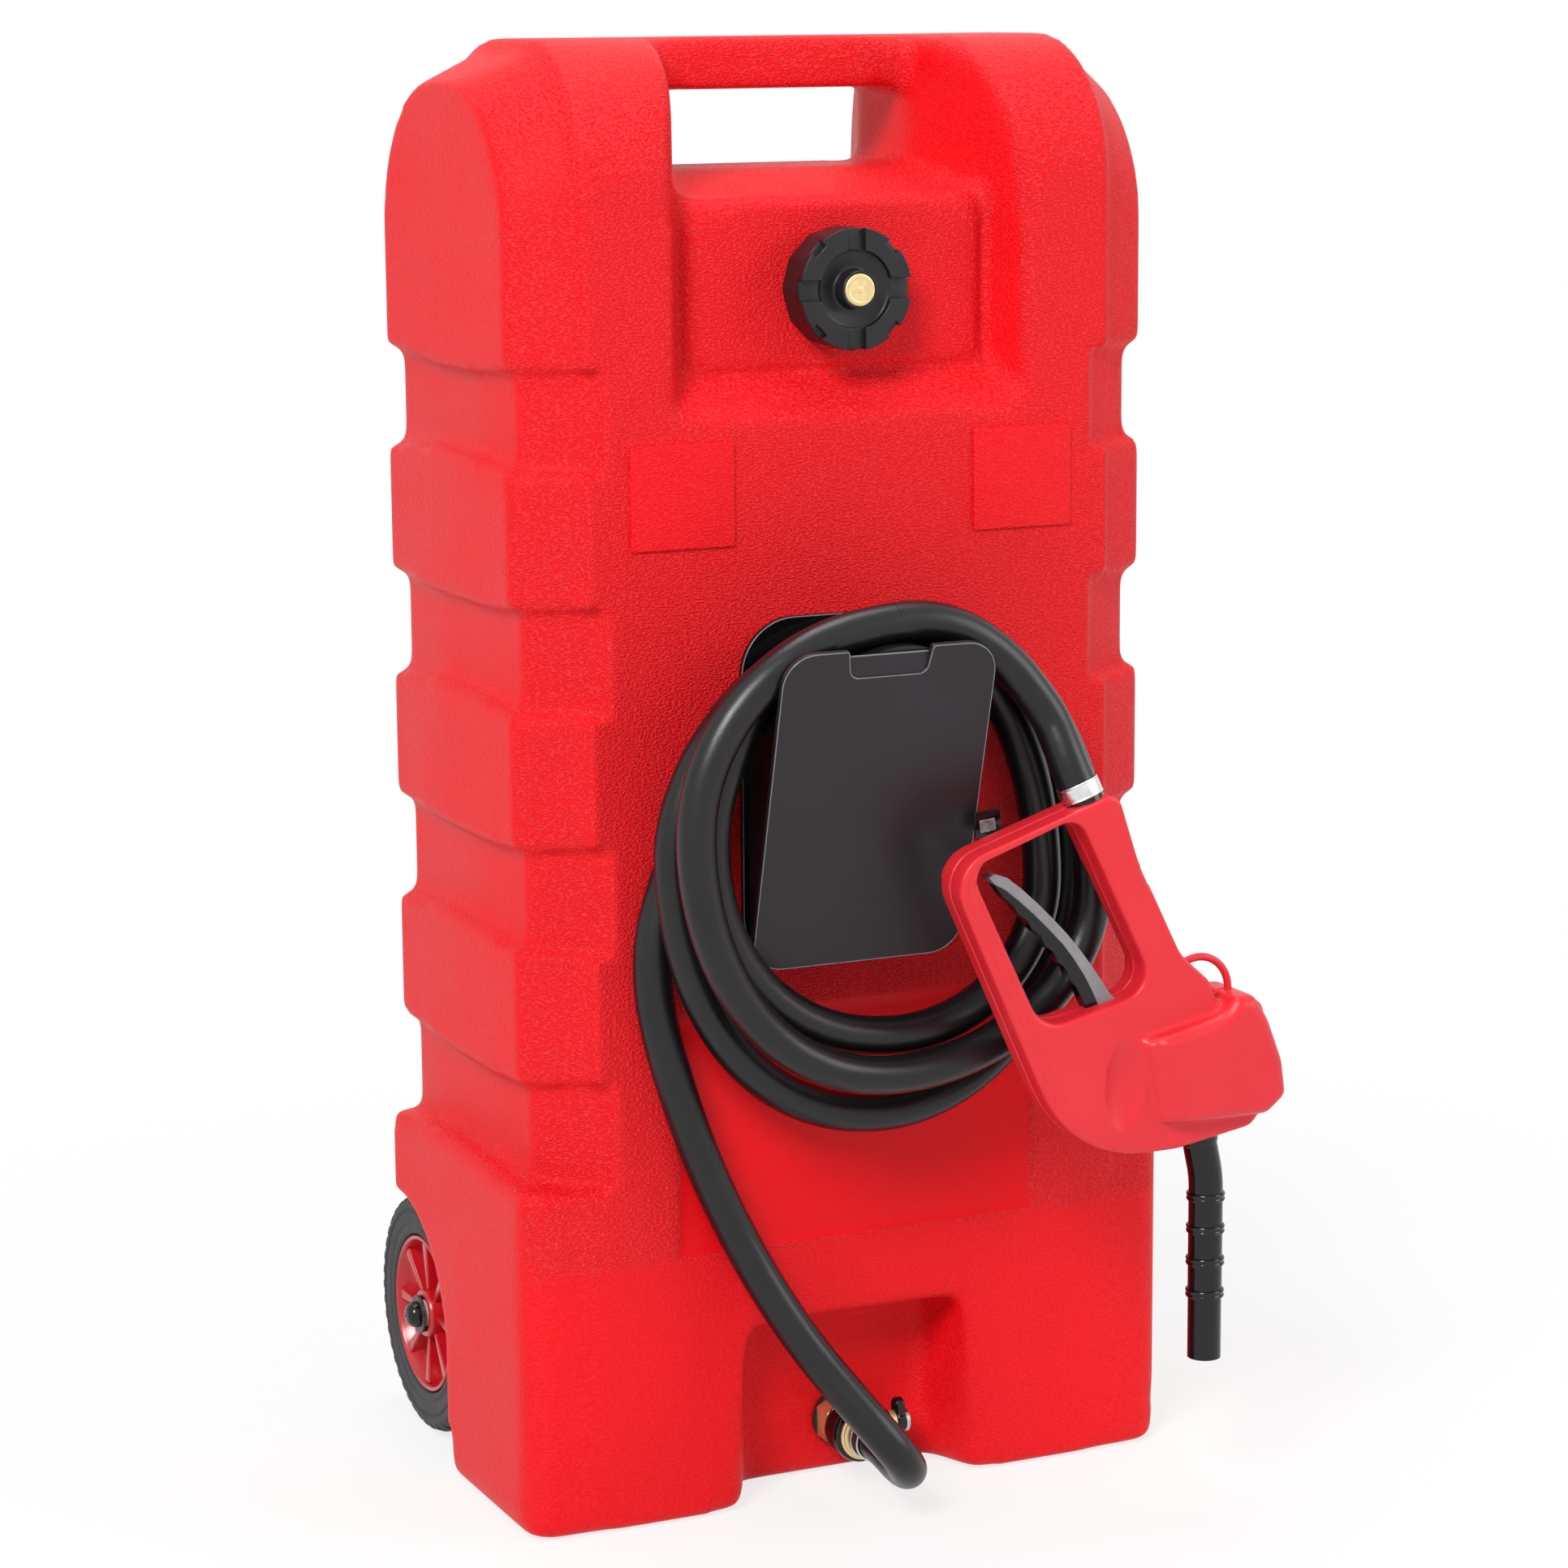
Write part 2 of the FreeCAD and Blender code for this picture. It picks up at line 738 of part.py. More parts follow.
def make_wheel(name, side, heading):
    """One wheel: a tyre on a ribbed rim that turns on a plastic bush."""
    middle = (side * (size.wheel_outer - size.wheel_wide / 2), size.axle_deep, size.axle_high)
    half = size.wheel_wide / 2
    tread = size.tread_wide / 2
    seat = size.rim_radius
    shoulder = size.wheel_radius - size.tyre_shoulder
    bead = seat + size.tyre_bead
    tyre = turned(name + "_tyre_body", [
        (seat, -size.rim_wide / 2), (bead, -half), (shoulder, -half),
        (size.wheel_radius, -tread), (size.wheel_radius, tread), (shoulder, half),
        (bead, half), (seat, size.rim_wide / 2)])
    sub_part(name + "_tyre", tyre, middle, heading)
    bore = size.axle_radius + size.running + size.bush_wall
    hub = size.hub_wide / 2
    web = size.web_thick / 2
    edge = size.rim_wide / 2
    lip = seat - size.rim_wall
    disc = turned(name + "_rim_disc", [
        (bore, -hub), (size.hub_radius, -hub), (size.hub_radius, -web), (lip, -web),
        (lip, -edge), (seat, -edge), (seat, edge), (lip, edge), (lip, web),
        (size.hub_radius, web), (size.hub_radius, hub), (bore, hub)])
    ribs = [disc]
    for number in range(int(size.rib_count.value)):
        rib = box(name + "_rib", (size.hub_radius - 1, -size.rib_thick / 2, -edge + size.rib_inset),
                  (lip + 1, size.rib_thick / 2, edge - size.rib_inset))
        turn = FreeCAD.Rotation(Vector(0, 0, 1), 360 * number / size.rib_count.value)
        spin = doc.addObject("Part::Compound", name + "_rib_turned")
        spin.Links = [rib]
        spin.Placement.Rotation = turn
        ribs.append(spin)
    sub_part(name + "_rim", fuse(name + "_rim_whole", *ribs), middle, heading)
    bush = turned(name + "_bush_body", [
        (size.axle_radius + size.running, -half), (bore + 3, -half), (bore + 3, -hub),
        (bore, -hub), (bore, half), (size.axle_radius + size.running, half)])
    sub_part(name + "_bush", bush, middle, heading)


# Each point of an axle cap's dome, in shares of its radius and of its length.
AXLE_CAP_DOME = [(1, 0.35), (0.85, 0.72), (0.5, 0.93), (0, 1)]


def make_axle():
    """The steel axle, its washers and its push-on caps."""
    reach = size.wheel_outer + size.washer_thick + size.fit + size.axle_tail
    axle = cylinder("axle_bar", size.axle_radius, reach * 2,
                    (-reach, size.axle_deep, size.axle_high), RIGHT)
    sub_part("axle", group("axle_group", axle))
    washers = []
    caps = []
    inner = size.wheel_outer - size.wheel_wide - size.fit - size.washer_thick
    outer = size.wheel_outer + size.fit
    for side, heading in ((-1, LEFT), (1, RIGHT)):
        for start in (inner, outer):
            washer = sleeve("axle_washer", size.axle_radius, size.washer_radius,
                            size.washer_thick)
            place(washer, (side * start, size.axle_deep, size.axle_high), heading)
            washers.append(washer)
        long = size.axle_cap_long
        cap = turned("axle_cap", [
            (0, size.axle_tail), (size.axle_radius, size.axle_tail), (size.axle_radius, 0),
            (size.axle_cap_radius, 0)] + [
            (size.axle_cap_radius * wide, long * high) for wide, high in AXLE_CAP_DOME])
        place(cap, (side * (outer + size.washer_thick), size.axle_deep, size.axle_high), heading)
        caps.append(cap)
    sub_part("axle_washers", group("axle_washer_group", *washers))
    sub_part("axle_caps", group("axle_cap_group", *caps))


# Filler cap with its vent

def make_cap():
    """The screw cap on the neck, with a gasket and a brass vent button."""
    base = size.pocket_deep - size.pad_proud
    middle = (0, base, cap_high())
    neck = size.neck_long
    gasket_top = neck + size.gasket_thick
    gasket = sleeve("cap_gasket_body", size.neck_bore + 1, size.neck_radius, size.gasket_thick)
    sub_part("cap_gasket", gasket, (0, base - neck, cap_high()), FRONT)
    top = size.cap_long
    dish = top - size.cap_dish
    skirt = size.cap_radius - size.cap_skirt_wall
    ring = size.cap_radius - size.cap_ring_wall
    bore = size.button_stem + 3
    shell = turned("cap_turned", [
        (skirt, size.cap_gap), (size.cap_radius, size.cap_gap), (size.cap_radius, top - 3),
        (size.cap_radius - 2, top), (ring, top), (ring - 1, dish),
        (size.seat_radius, dish), (size.seat_radius, dish + size.seat_proud),
        (size.button_radius + 0.5, dish + size.seat_proud), (size.button_radius + 0.5, dish - 1),
        (bore, dish - 1), (bore, gasket_top), (skirt, gasket_top)])
    tools = []
    for number in range(4):
        slot = box("castle_slot", (ring - 3, -size.castle_slot / 2, top - size.castle_deep),
                   (size.cap_radius + 1, size.castle_slot / 2, top + 1))
        window = box("castle_window",
                     (size.cap_radius - 3, -size.window_wide / 2, top - size.window_deep),
                     (size.cap_radius + 1, size.window_wide / 2, top + 1))
        for tool, lead in ((slot, 0), (window, 45)):
            spin = doc.addObject("Part::Compound", "castle_cut")
            spin.Links = [tool]
            spin.Placement.Rotation = FreeCAD.Rotation(Vector(0, 0, 1), 90 * number + lead)
            tools.append(spin)
    sub_part("cap_shell", cut("cap_cut", shell, *tools), middle, FRONT)
    stem = size.button_stem
    seat_top = dish - 1
    seat = turned("vent_seat_body", [
        (stem + size.running, gasket_top - 1), (bore + 3, gasket_top - 1), (bore + 3, gasket_top),
        (bore, gasket_top), (bore, seat_top - 1), (stem + size.running, seat_top - 1)])
    sub_part("vent_seat", seat, middle, FRONT)
    head_low = dish + size.button_travel + 0.5
    head_top = dish + size.seat_proud + size.button_proud
    button = turned("vent_button_body", [
        (0, gasket_top - 6), (stem + 2, gasket_top - 6), (stem + 2, gasket_top - 4.4),
        (stem, gasket_top - 4.4), (stem, head_low), (size.button_radius, head_low),
        (size.button_radius, head_top - 1), (size.button_radius - 1, head_top), (0, head_top)])
    sub_part("vent_button", button, middle, FRONT)
    sub_part("vent_spring", coil_spring("vent_spring_wire", size.spring_wire,
                                        stem + 2, size.spring_pressed, 1.5),
             (0, base - seat_top, cap_high()), FRONT)


# Outlet valve low in front

def hexagon(name, flats, thickness):
    """A hexagonal nut blank that stands on its own zero."""
    prism = doc.addObject("Part::Prism", name)
    prism.Polygon = 6
    bind(prism, "Circumradius", flats / math.sqrt(3))
    bind(prism, "Height", thickness)
    return prism


def hose_start():
    """How deep the hose begins, at the shoulder of its barb."""
    chain = size.seal_thick + size.bushing_thick + size.valve_long + size.barb_hex_thick
    return size.notch_deep - chain


def make_valve():
    """The ball valve between the tank and the hose."""
    wall = (size.valve_x, size.notch_deep, size.valve_high)
    seal = sleeve("bushing_seal_body", size.bushing_tail, size.bushing_flats / 2 + 2,
                  size.seal_thick)
    sub_part("bushing_seal", seal, wall, FRONT)
    hexagonal = place(hexagon("bushing_hex", size.bushing_flats, size.bushing_thick),
                      (0, 0, size.seal_thick))
    tail = cylinder("bushing_tail", size.bushing_tail, size.bushing_tail_long + size.seal_thick,
                    (0, 0, size.seal_thick), DOWN)
    bore = cylinder("bushing_bore", size.flow_bore, size.tank_deep / 2,
                    (0, 0, -size.tank_deep / 4))
    sub_part("outlet_bushing", cut("bushing_cut", fuse("bushing", hexagonal, tail), bore),
             wall, FRONT)
    nut_hex = hexagon("outlet_nut_hex", size.bushing_flats, size.bushing_thick / 2)
    nut_bore = cylinder("outlet_nut_bore", size.bushing_tail, size.bushing_thick, (0, 0, -1))
    sub_part("outlet_nut", cut("outlet_nut_cut", nut_hex, nut_bore),
             (size.valve_x, size.notch_deep + size.tank_wall, size.valve_high), BACK)
    body_start = size.seal_thick + size.bushing_thick
    ball_at = body_start + size.valve_long / 2
    ball = size.ball_radius
    drum = cylinder("valve_drum", size.valve_radius, size.valve_long, (0, 0, body_start))
    neck = cylinder("valve_neck", size.valve_neck, size.valve_radius + 3, (0, 0, ball_at), RIGHT)
    room = doc.addObject("Part::Sphere", "ball_room")
    bind(room, "Radius", ball + size.fit)
    place(room, (0, 0, ball_at))
    way = cylinder("flow_way", size.flow_bore, size.valve_long + 6, (0, 0, body_start - 2))
    stem_way = cylinder("stem_way", size.stem_radius + size.running, size.valve_radius + 6,
                        (0, 0, ball_at), RIGHT)
    seat_wide = size.flow_bore + size.seat_ring
    seat_near = ball * 0.8 + size.running
    seats = []
    seat_rooms = []
    for heading in (UP, DOWN):
        turn = 1 if heading is UP else -1
        seat = sleeve("valve_seat", size.flow_bore, seat_wide, size.seat_deep)
        seats.append(place(seat, (0, 0, turn * seat_near), heading))
        seat_rooms.append(cylinder("seat_room", seat_wide, size.seat_deep,
                                   (0, 0, ball_at + turn * seat_near), heading))
    sub_part("valve_seats", group("valve_seat_group", *seats),
             (size.valve_x, size.notch_deep - ball_at, size.valve_high), FRONT)
    body = cut("valve_cut", fuse("valve_whole", drum, neck), room, way, stem_way, *seat_rooms)
    sub_part("valve_body", body, wall, FRONT)
    globe = doc.addObject("Part::Sphere", "ball_globe")
    bind(globe, "Radius", ball)
    ball_bore = cylinder("ball_bore", size.flow_bore, ball * 2 + 2, (0, 0, -ball - 1))
    slot = box("ball_slot", (ball - 2.5, -1.6, -ball), (ball + 1, 1.6, ball))
    ball_deep = size.notch_deep - ball_at
    sub_part("valve_ball", cut("ball_cut", globe, ball_bore, slot),
             (size.valve_x, ball_deep, size.valve_high), FRONT)
    stem_end = size.valve_radius + 3 + size.packing_long + size.grip_thick + 3
    rod = cylinder("stem_rod", size.stem_radius, stem_end - ball - 0.5, (ball + 0.5, 0, 0), RIGHT)
    blade = box("stem_blade", (ball - 2.2, -1.4, -3.6), (ball + 0.6, 1.4, 3.6))
    sub_part("valve_stem", fuse("stem_whole", rod, blade),
             (size.valve_x, ball_deep, size.valve_high), FRONT)
    packing = sleeve("packing_nut_body", size.stem_radius + size.running, size.packing_radius,
                     size.packing_long)
    neck_end = size.valve_x + size.valve_radius + 3
    sub_part("packing_nut", packing, (neck_end, ball_deep, size.valve_high), RIGHT)
    grip_start = neck_end + size.packing_long + size.fit
    grip = box("grip_bar", (-size.grip_deep / 2, -size.grip_long / 2, 0),
               (size.grip_deep / 2, size.grip_long / 2, size.grip_thick))
    collar = cylinder("grip_collar", size.packing_radius, size.grip_thick, (0, 0, 0))
    hole = cylinder("grip_hole", size.stem_radius, size.grip_thick + 2, (0, 0, -1))
    sub_part("valve_handle", cut("grip_cut", fuse("grip_whole", grip, collar), hole),
             (grip_start, ball_deep, size.valve_high), RIGHT)
    nut = sleeve("handle_nut_body", size.stem_radius, size.packing_radius, 2.4)
    sub_part("handle_nut", nut, (grip_start + size.grip_thick, ball_deep, size.valve_high), RIGHT)
    barb_start = (size.valve_x, hose_start(), size.valve_high)
    barb_hex = place(hexagon("barb_hex", size.barb_hex, size.barb_hex_thick),
                     (0, 0, -size.barb_hex_thick))
    barb_tube = cylinder("barb_tube", size.barb_radius, size.barb_long, (0, 0, 0))
    barb_bore = cylinder("barb_bore", size.flow_bore - 1, size.barb_long * 2,
                         (0, 0, -size.barb_hex_thick - 1))
    sub_part("hose_barb", cut("barb_cut", fuse("barb_whole", barb_hex, barb_tube), barb_bore),
             barb_start, FRONT)
    inner = size.hose_radius + size.running
    clamp = sleeve("hose_clamp_body", inner, inner + size.clamp_thick, size.clamp_wide)
    screw = cylinder("clamp_screw", size.screw_radius, size.clamp_screw_long,
                     (inner + size.screw_radius + size.clamp_thick / 2,
                      -size.clamp_screw_long / 2, size.clamp_wide / 2), BACK)
    sub_part("hose_clamp", fuse("hose_clamp_whole", clamp, screw),
             (size.valve_x, hose_start() - size.clamp_from, size.valve_high), FRONT)


# Hose: one length from the outlet, wound over the hanger and on to the nozzle

HOSE_LOWER = [
    (6, 1, 36), (6, -20, 36), (9, -40, 28), (5, -60, 33), (-6, -70, 47), (-19, -67, 64),
    (-34, -54, 85), (-52, -38, 112), (-68, -24, 143), (-84, -17, 178), (-99, -16, 214),
    (-113, -16, 249), (-126, -16, 284), (-137, -16, 318), (-143, -16, 350), (-143, -16, 378),
]
HOSE_UPPER = [
    (72.2, -89.4, 504), (81.5, -91, 490), (84.5, -98, 476), (88, -104, 461), (94, -108, 444.5),
]
# Each wind of the coil: how far it reaches from the coil's middle, and how deep it lies
# (left, its height and depth; top depth; right, its height and depth; bottom, its
# middle and depth).
WINDS = [
    (125, 401, -16, -16, 153, 385, -17, 197, 10, -16),
    (124, 412, -40, -39.5, 123, 385, -39.5, 138, -2, -59),
    (99, 416, -70, -63, 146, 380, -61, 158, -11, -74),
    (126, 438, -88.5, -86.5, 0, 0, 0, 0, 0, 0),
]
COIL_TAIL = (57.5, -87.7, 523)


def hose_section(start, heading):
    """The hose's round section at one end of a path."""
    return Part.Wire(Part.Circle(start, heading, size.hose_radius.value).toShape())


def smooth_path(route):
    """Straight runs joined by arcs as large as the runs allow."""
    points = [Vector(*point) for point in route]
    edges = []
    here = points[0]
    for before, corner, after in zip(points, points[1:], points[2:]):
        back = (before - corner).normalize()
        ahead = (after - corner).normalize()
        half_turn = (math.pi - back.getAngle(ahead)) / 2
        reach = 0.45 * min((before - corner).Length, (after - corner).Length)
        radius = reach / math.tan(half_turn)
        inward = (back + ahead).normalize()
        middle = corner + inward * (radius / math.cos(half_turn) - radius)
        start = corner + back * reach
        finish = corner + ahead * reach
        edges.append(Part.LineSegment(here, start).toShape())
        edges.append(Part.Arc(start, middle, finish).toShape())
        here = finish
    edges.append(Part.LineSegment(here, points[-1]).toShape())
    return Part.Wire(edges)


def hose_run(name, route):
    """A stretch of hose that lies free."""
    path = smooth_path(route)
    start = path.Edges[0].Vertexes[0].Point
    heading = path.Edges[0].tangentAt(path.Edges[0].FirstParameter)
    shape = path.makePipeShell([hose_section(start, heading)], True, False)
    ideal = math.pi * size.hose_radius.value ** 2 * path.Length
    print(name, "length", round(path.Length, 1),
          "volume over ideal", round(shape.Volume / ideal, 4))
    sub_part(name, solid_feature(name + "_tube", shape))


def coil_knots():
    """Places and headings at each quarter of every wind."""
    middle = size.coil_x.value
    high = size.coil_high.value
    top = high + size.coil_rise.value
    knots = []
    for (left, left_high, left_deep, top_deep, right, right_high, right_deep,
         drop, bottom, bottom_deep) in WINDS:
        knots.append((Vector(middle - left, left_deep, left_high), Vector(0, 0, 1)))
        knots.append((Vector(middle, top_deep, top), Vector(1, 0, 0)))
        if right:
            knots.append((Vector(middle + right, right_deep, right_high), Vector(0, 0, -1)))
            knots.append((Vector(bottom, bottom_deep, high - drop), Vector(-1, 0, 0)))
    tail = Vector(*COIL_TAIL)
    out = (Vector(*HOSE_UPPER[1]) - Vector(*HOSE_UPPER[0])).normalize()
    knots.append((tail, out))
    return knots


def biarc(start, start_heading, finish, finish_heading):
    """Two arcs that leave one place and reach another along given headings."""
    gap = finish - start
    total = start_heading + finish_heading
    share = 2 * (1 - start_heading.dot(finish_heading))
    along = gap.dot(total)
    reach = (-along + math.sqrt(along * along + share * gap.dot(gap))) / share
    near = start + start_heading * reach
    far = finish - finish_heading * reach
    joint = (near + far) * 0.5
    arcs = []
    for begin, control, end in ((start, near, joint), (joint, far, finish)):
        back = (begin - control).normalize()
        ahead = (end - control).normalize()
        half_turn = (math.pi - back.getAngle(ahead)) / 2
        radius = (begin - control).Length / math.tan(half_turn)
        middle = control + (back + ahead).normalize() * (radius / math.cos(half_turn) - radius)
        arcs.append(Part.Arc(begin, middle, end).toShape())
    return arcs


def least_gap(edges, step=4):
    """The least space between parts of the tube that lie far apart along it."""
    points = []
    for edge in edges:
        count = max(2, int(edge.Length / step))
        points += edge.discretize(count)[:-1]
    skip = int(math.pi * size.hose_radius.value * 2 / step)
    least = min((points[one] - points[two]).Length
                for one in range(len(points)) for two in range(one + skip, len(points)))
    return least - 2 * size.hose_radius.value


def make_hose():
    """The lower run, the coil and the upper run, face to face."""
    hose_run("hose_lower_run", HOSE_LOWER)
    hose_run("hose_upper_run", HOSE_UPPER)
    knots = coil_knots()
    start = Vector(*HOSE_LOWER[-1])
    finish = Vector(*HOSE_UPPER[0])
    edges = [Part.LineSegment(start, knots[0][0]).toShape()]
    for (near, near_heading), (far, far_heading) in zip(knots, knots[1:]):
        edges += biarc(near, near_heading, far, far_heading)
    edges.append(Part.LineSegment(knots[-1][0], finish).toShape())
    path = Part.Wire(edges)
    shape = path.makePipeShell([hose_section(start, Vector(0, 0, 1))], True, False)
    ideal = math.pi * size.hose_radius.value ** 2 * path.Length
    print("hose_coil length", round(path.Length, 1), "least gap", round(least_gap(edges), 2),
          "volume over ideal", round(shape.Volume / ideal, 4))
    sub_part("hose_coil", solid_feature("hose_coil_tube", shape))


# Hanger that the hose is wound on

def cover_back(high):
    """How deep the back of the sloping cover lies at a height."""
    slope = size.cover_lean / size.cover_rise
    return -(size.cover_low_deep + (high - size.cover_low) * slope)


def arch_slab(name, left, right, low, radius, deep):
    """A slab with a curved top that the hose rests on."""
    left, right, low, radius, deep = plain((left, right, low, radius, deep))
    middle = size.coil_x.value
    high = plain([size.coil_high + size.coil_rise - size.hose_radius - size.core_clear
                  - size.core_round])[0]
    near = -size.plate_thick.value

    def crown(across):
        return Vector(across, near, high + math.sqrt(radius ** 2 - (across - middle) ** 2))

    top = Vector(middle, near, high + radius)
    edges = [
        Part.LineSegment(Vector(left, near, low), Vector(right, near, low)),
        Part.LineSegment(Vector(right, near, low), crown(right)),
        Part.Arc(crown(right), top, crown(left)),
        Part.LineSegment(crown(left), Vector(left, near, low)),
    ]
    face = Part.Face(Part.Wire([edge.toShape() for edge in edges]))
    return solid_feature(name, face.extrude(Vector(0, -deep, 0)))


def make_hanger():
    """The plate on the tank, the drum that the hose hangs on and its sloping cover."""
    left, right, low, top, radius = plain((size.plate_left, size.plate_right, size.plate_low,
                                           size.plate_top, size.plate_round))
    small = radius / 3
    wire = rounded_wire([(-left, low, small), (right, low, small), (right, top, radius),
                         (-left, top, radius)], 0)
    plate = Part.Face(wire).extrude(Vector(0, -size.plate_thick.value, 0))
    sub_part("hanger_base", solid_feature("hanger_plate", plate))

    crown = size.core_round
    wall = size.core_wall
    far = size.cover_lean + size.cover_low_deep + PAST
    drum = arch_slab("drum_outside", -size.core_left, size.core_right, size.core_low, crown, far)
    room = arch_slab("drum_inside", -size.core_left + wall, size.core_right - wall,
                     size.core_low + wall, crown - wall, far)
    base = -size.plate_thick
    low_edge = size.core_low - 1
    top_edge = size.plate_top + PAST
    outline = [(base, low_edge), (cover_back(low_edge), low_edge),
               (cover_back(top_edge), top_edge), (base, top_edge)]
    side = slice_of("drum_side", "YZ_Plane", outline, size.core_left * 3)
    place(side, (-size.core_left * 1.5, 0, 0))
    sub_part("hanger_core", common("drum_common", cut("drum_cut", drum, room), side))

    lean = math.atan2(size.cover_lean.value, size.cover_rise.value)
    rise = math.hypot(size.cover_lean.value, size.cover_rise.value)
    half, corner = plain((size.cover_wide / 2, size.cover_round))
    wire = rounded_wire([(-half, 0, corner), (half, 0, corner), (half, rise, corner),
                         (-half, rise, corner)], 0)
    panel = solid_feature("cover_panel",
                          Part.Face(wire).extrude(Vector(0, -size.cover_thick.value, 0)))
    pull = box("cover_pull",
               (-size.pull_wide / 2 + size.pull_shift, -size.cover_thick - 1,
                rise - size.pull_deep),
               (size.pull_wide / 2 + size.pull_shift, -size.pull_lip, rise + 1))
    sub_part("hanger_cover", cut("cover_cut", panel, pull),
             (size.cover_x, -size.cover_low_deep, size.cover_low),
             FreeCAD.Rotation(Vector(1, 0, 0), math.degrees(lean)))

    screws = []
    for across in (-size.core_left + size.screw_in, size.core_right - size.screw_in):
        for high in (size.core_low + size.screw_in, size.screw_top):
            shank = cylinder("hanger_screw_shank", size.screw_radius, size.screw_long,
                             (across, -size.plate_thick, high), BACK)
            head = cone("hanger_screw_head", size.screw_head, size.screw_head * 0.7,
                        size.screw_head_thick, (across, -size.plate_thick, high), FRONT)
            screws.append(fuse("hanger_screw", shank, head))
    sub_part("hanger_screws", group("hanger_screw_group", *screws))


def make_hook():
    """The bent steel strap that the nozzle hangs from, on the drum's right wall."""
    side = size.core_right
    near = -size.hook_from
    back = near + size.hook_flange
    top = size.hook_high
    low = top - size.hook_thick
    left = size.hook_x - size.hook_wide / 2
    strip = box("hook_strip", (side, near, low), (left + size.hook_wide, back, top))
    arm = box("hook_arm", (left, -size.hook_reach, low), (left + size.hook_wide, back, top))
    flange = box("hook_flange", (side, near, low),
                 (side + size.hook_thick, back, top + size.hook_flange))
    sub_part("nozzle_hook", fuse("hook_whole", strip, arm, flange))
    screws = []
    for lift in (0.4, 0.8):
        at = (side + size.hook_thick, near + size.hook_flange / 2, top + size.hook_flange * lift)
        shank = cylinder("hook_screw_shank", size.hook_screw, size.core_wall + size.hook_thick,
                         at, LEFT)
        head = cylinder("hook_screw_head", size.hook_screw * 1.9, size.hook_screw, at, RIGHT)
        screws.append(fuse("hook_screw", shank, head))
    sub_part("hook_screws", group("hook_screw_group", *screws))


# Dispensing nozzle that hangs from the hook

SHELL_OUTLINE = [
    (109, 449, 5), (122.4, 408.2, 60), (151.8, 348.5, 30), (170.9, 331.3, 10),
    (177.4, 317, 1.5), (207, 317, 10), (220, 262, 12), (201, 239, 10), (150, 230.5, 60),
    (80, 230.5, 75), (-2, 413.3, 22),
]
SHELL_OPENING = [(13.4, 412.6, 11), (83, 436.9, 13), (137.2, 330.1, 16), (60.5, 312.7, 20)]
TRIGGER = [
    (29, 403), (35, 405), (50, 394), (70, 375), (87, 357), (101, 338), (109, 321), (118, 317),
    (121, 310), (116, 303), (108, 305), (100, 319), (88, 341), (75, 359), (53, 379), (38, 390),
]
TRIGGER_PIVOT = (114, 310)
SHELL_SCREWS = [(13, 409), (66, 294), (186, 306), (203, 249)]
GRIP_RUN = (0.37, 0, -0.93)
INLET_START = (101, 430)
SPOUT = [(168.7, -110, 252.5), (174, -110, 226), (178, -110, 208), (178, -110, 95)]
STRAP_TURN = -20
STRAP_SWEEP = 144
TORSION_TURNS = 2.5


def along(heading):
    """The turn that takes +Z to a heading."""
    return FreeCAD.Rotation(Vector(0, 0, 1), Vector(*heading))


def shell_tools(mid):
    """What the two nozzle shells are hollowed for."""
    across, high = TRIGGER_PIVOT
    slot = size.trigger_half + size.trigger_gap
    end = Vector(*HOSE_UPPER[-1])
    before = Vector(*HOSE_UPPER[-2])
    inward = (end - before).normalize()
    spout_heading = Vector(*SPOUT[1]) - Vector(*SPOUT[0])
    tools = [
        cylinder("valve_room", size.nozzle_valve_radius, size.nozzle_valve_long,
                 (size.nozzle_valve_left, mid, size.nozzle_valve_high), RIGHT),
        cylinder("inlet_room", size.inlet_radius, size.inlet_long,
                 (INLET_START[0], mid, INLET_START[1]), along(GRIP_RUN)),
        box("trigger_room",
            (across - size.trigger_room_left, mid - slot, high - size.trigger_room_low),
            (across + size.trigger_room_right, mid + slot, high + size.trigger_room_high)),
        cylinder("pin_hole", size.pin_radius, size.pin_half * 2,
                 (across, mid + size.pin_half, high), FRONT),
        cylinder("spring_room", size.torsion_radius + size.torsion_wire * 2,
                 size.pin_half - slot + size.overlap, (across, mid - slot + size.overlap, high),
                 FRONT),
        cylinder("ferrule_room", size.ferrule_radius, size.ferrule_long, end, along(inward)),
        cylinder("band_room", size.crimp_radius, size.crimp_long * 2,
                 end - inward * size.crimp_long.value * 2, along(inward)),
        cylinder("nut_room", size.spout_nut_radius, size.spout_nut_high,
                 SPOUT[0], along(spout_heading)),
        cylinder("spout_room", size.spout_radius + size.fit, size.spout_nut_high * 3,
                 SPOUT[0], along(spout_heading)),
    ]
    for across, high in SHELL_SCREWS:
        tools.append(cylinder("screw_hole", size.screw_radius, size.shell_screw_long,
                              (across, mid + size.shell_half, high), FRONT))
    return tools


